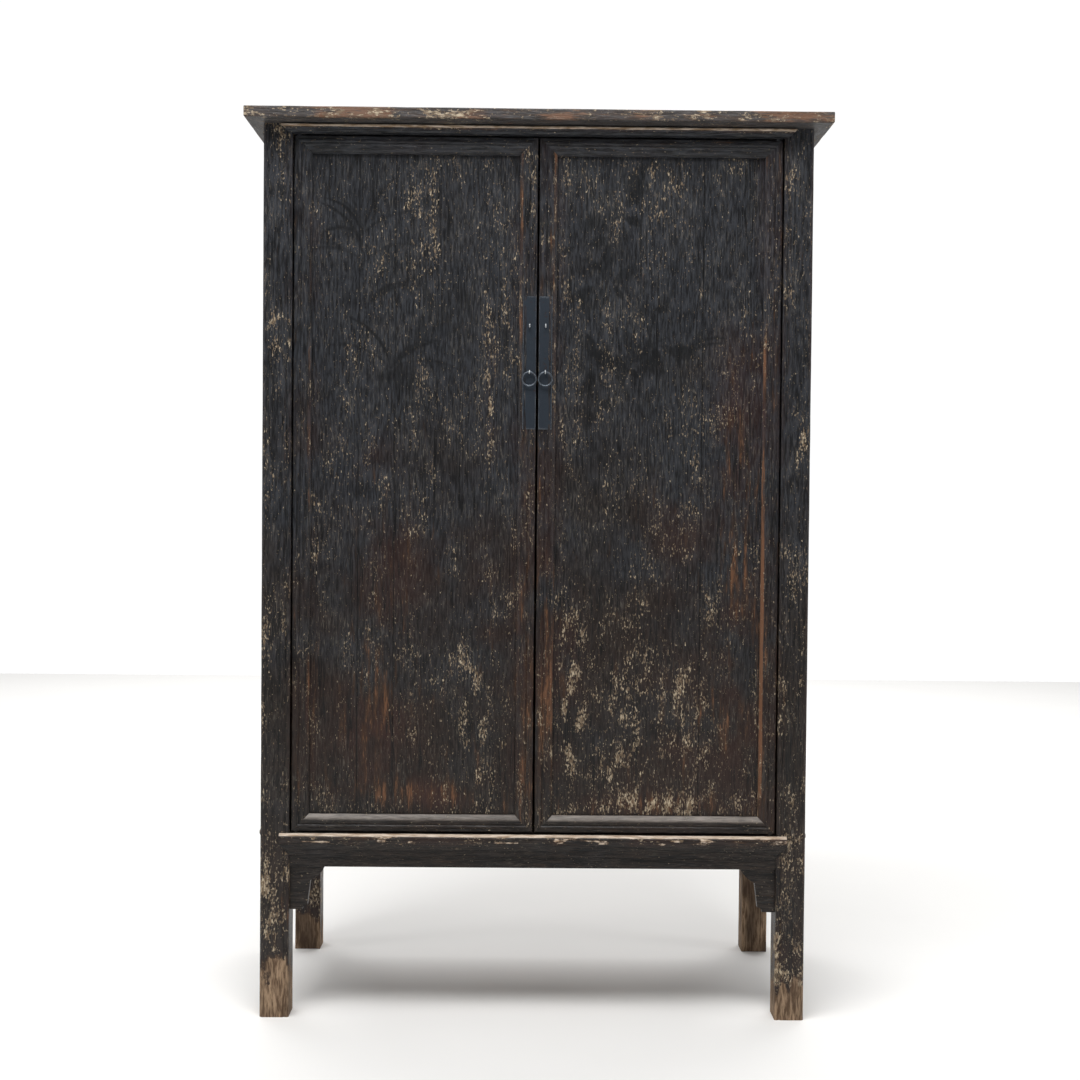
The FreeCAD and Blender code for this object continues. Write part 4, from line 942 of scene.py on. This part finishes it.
def wireFitting(side, part):
    # path = (x, middle - r cos a, z + r sin a) for the eye, then straight back through the door
    node = f"door_{side}_{part}"
    low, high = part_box(node)
    x = (low.x + high.x) / 2
    wire = (high.x - low.x) / 2
    clench = (high.z - low.z) / 2
    z = (low.z + high.z) / 2
    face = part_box(f"door_{side}_face_plate")[0].y
    radius = (face - low.y - 2 * wire) / 2
    middle = low.y + wire + radius
    turn = ironwork["loopTurn"] * np.linspace(-np.pi, np.pi, ironwork["loopSteps"])
    # the wire goes round the eye and both ends run back side by side through the door
    path = [(x, middle - radius * math.cos(a), z + radius * math.sin(a)) for a in turn]
    half = wire * 0.95
    neck = middle + radius * 0.9
    path = [(x, high.y - 2 * wire, z - half), (x, neck + ironwork["neck"], z - half), *path,
            (x, neck + ironwork["neck"], z + half), (x, high.y - 2 * wire, z + half)]
    back = high.y - wire
    tip = ironwork["legTip"]
    legs = [tube([(x, back, z + s * ironwork["legStart"]), (x, back, z + s * clench * tip),
                  (x, back, z + s * clench)], [wire, wire * 0.9, wire * tip]) for s in (-1, 1)]
    points, faces = together(tube(path, wire * 0.9, sides=14), *legs)
    # the whole wire counts as rubbed, so it is pale throughout: hand polish and painted glints
    newMesh(f"iron_{side}_{part}", points, faces, [finishes["wire"]], "door_" + side, [node],
            {"wear": np.full(len(points), 0.7)})


def pullRing(side):
    # path = middle + r (sin a, 0, cos a), its bar worn thin where a = 0
    node = f"door_{side}_ring_pull"
    low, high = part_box(node)
    bar = (high.y - low.y) / 2
    radius = (high.x - low.x) / 2 - bar
    middle = (low + high) / 2
    angle = np.arange(ironwork["ringSteps"]) * 2 * np.pi / ironwork["ringSteps"]
    path = np.stack([middle.x + radius * np.sin(angle), 0 * angle + middle.y,
                     middle.z + radius * np.cos(angle)], axis=1)
    worn = bar * (1 - ironwork["barThin"] * np.exp(-((np.abs(angle - np.pi) - np.pi) / 0.35) ** 2)
                  - ironwork["barUneven"] * smoothNoise(path, 0.006, 111))
    points, faces = tube(path, worn, closed=True, sides=18)
    newMesh("iron_ring_" + side, points, faces, [finishes["ring"]], "ring_" + side, [node],
            {"wear": np.full(len(points), 0.45)})


for side in ("left", "right"):
    facePlate(side)
    wireFitting(side, "lock_staple")
    wireFitting(side, "ring_eye")
    pullRing(side)
print("iron made")

# room, light and camera
room = {"floor": "#f5f4f2", "shade": "#e6e5e3", "wide": 12.0, "fill": 0.18, "backdrop": 0.85}
floorMaterial, tree = newMaterial("pale paper floor")
paper = noise(tree, add(tree, "TexCoord", out=3), 0.4, 2)
shade = blend(tree, maths(tree, "MULTIPLY", paper, 0.25), linear(room["floor"]), linear(room["shade"]))
add(tree, "OutputMaterial", {0: add(tree, "BsdfPrincipled", {"Base Color": shade, "Roughness": 0.9})})
half = room["wide"] / 2
floorMesh = bpy.data.meshes.new("floor")
corners = [(-half, -half, 0), (half, -half, 0), (half, half, 0), (-half, half, 0)]
floorMesh.from_pydata(corners, [], [(0, 1, 2, 3)])
floorMesh.materials.append(floorMaterial)
floor = bpy.data.objects.new("floor", floorMesh)
bpy.context.scene.collection.objects.link(floor)

# the backdrop is white to the eye, and gives the object only a little light from all round
world = bpy.data.worlds.new("studio")
world.use_nodes = True
background = world.node_tree.nodes["Background"]
background.inputs["Color"].default_value = linear("#ffffff")
seen = add(world.node_tree, "LightPath")
strength = maths(world.node_tree, "MULTIPLY_ADD", seen, room["backdrop"], room["fill"])
world.node_tree.links.new(strength, background.inputs["Strength"])
bpy.context.scene.world = world
bpy.context.scene.view_settings.view_transform = "Standard"

# each light: place, aimed at, width, height, watts
lights = {"overhead": ((-0.4, -1.9, 4.6), (0, -0.2, 0.8), 3.4, 1.6, 200),
          "behind": ((0, 4.4, 5.0), (0, 3.6, 0), 9.0, 5.0, 420),
          "left": ((-4.0, -0.9, 1.6), (0, 0, 1.0), 1.0, 2.6, 22),
          "right": ((4.0, -0.9, 1.6), (0, 0, 1.0), 1.0, 2.6, 22)}
for name, (place, aim, wide, tall, watts) in lights.items():
    lamp = bpy.data.lights.new(name, "AREA")
    lamp.shape = "RECTANGLE"
    lamp.size, lamp.size_y, lamp.energy = wide, tall, watts
    stand = bpy.data.objects.new(name, lamp)
    way = Vector(aim) - Vector(place)
    stand.matrix_world = Matrix.Translation(place) @ way.to_track_quat("-Z", "Y").to_matrix().to_4x4()
    bpy.context.scene.collection.objects.link(stand)

# turns in radians: yaw to the side, pitch down, roll clockwise
cameraPlace = {"place": (-0.0183, -3.4333, 1.0556), "yaw": 0.0085, "pitch": 0.0228, "roll": 0.009,
               "lens": 51.65, "sensor": 36}
lens = bpy.data.cameras.new("camera")
lens.lens = cameraPlace["lens"]
lens.sensor_width = cameraPlace["sensor"]
cosYaw, sinYaw = math.cos(cameraPlace["yaw"]), math.sin(cameraPlace["yaw"])
cosPitch, sinPitch = math.cos(cameraPlace["pitch"]), math.sin(cameraPlace["pitch"])
cosRoll, sinRoll = math.cos(cameraPlace["roll"]), math.sin(cameraPlace["roll"])
toCamera = (np.array([[cosRoll, -sinRoll, 0], [sinRoll, cosRoll, 0], [0, 0, 1]])
            @ np.array([[1, 0, 0], [0, cosPitch, -sinPitch], [0, sinPitch, cosPitch]])
            @ np.array([[cosYaw, 0, -sinYaw], [0, 1, 0], [sinYaw, 0, cosYaw]])
            @ np.array([[1, 0, 0], [0, 0, -1], [0, 1, 0]]))
facing = Matrix((toCamera * np.array([[1], [-1], [-1]])).T.tolist()).to_4x4()
camera = bpy.data.objects.new("camera", lens)
camera.matrix_world = Matrix.Translation(cameraPlace["place"]) @ facing
bpy.context.scene.collection.objects.link(camera)
bpy.context.scene.camera = camera
print("room, lights and camera made")

bpy.context.view_layer.update()
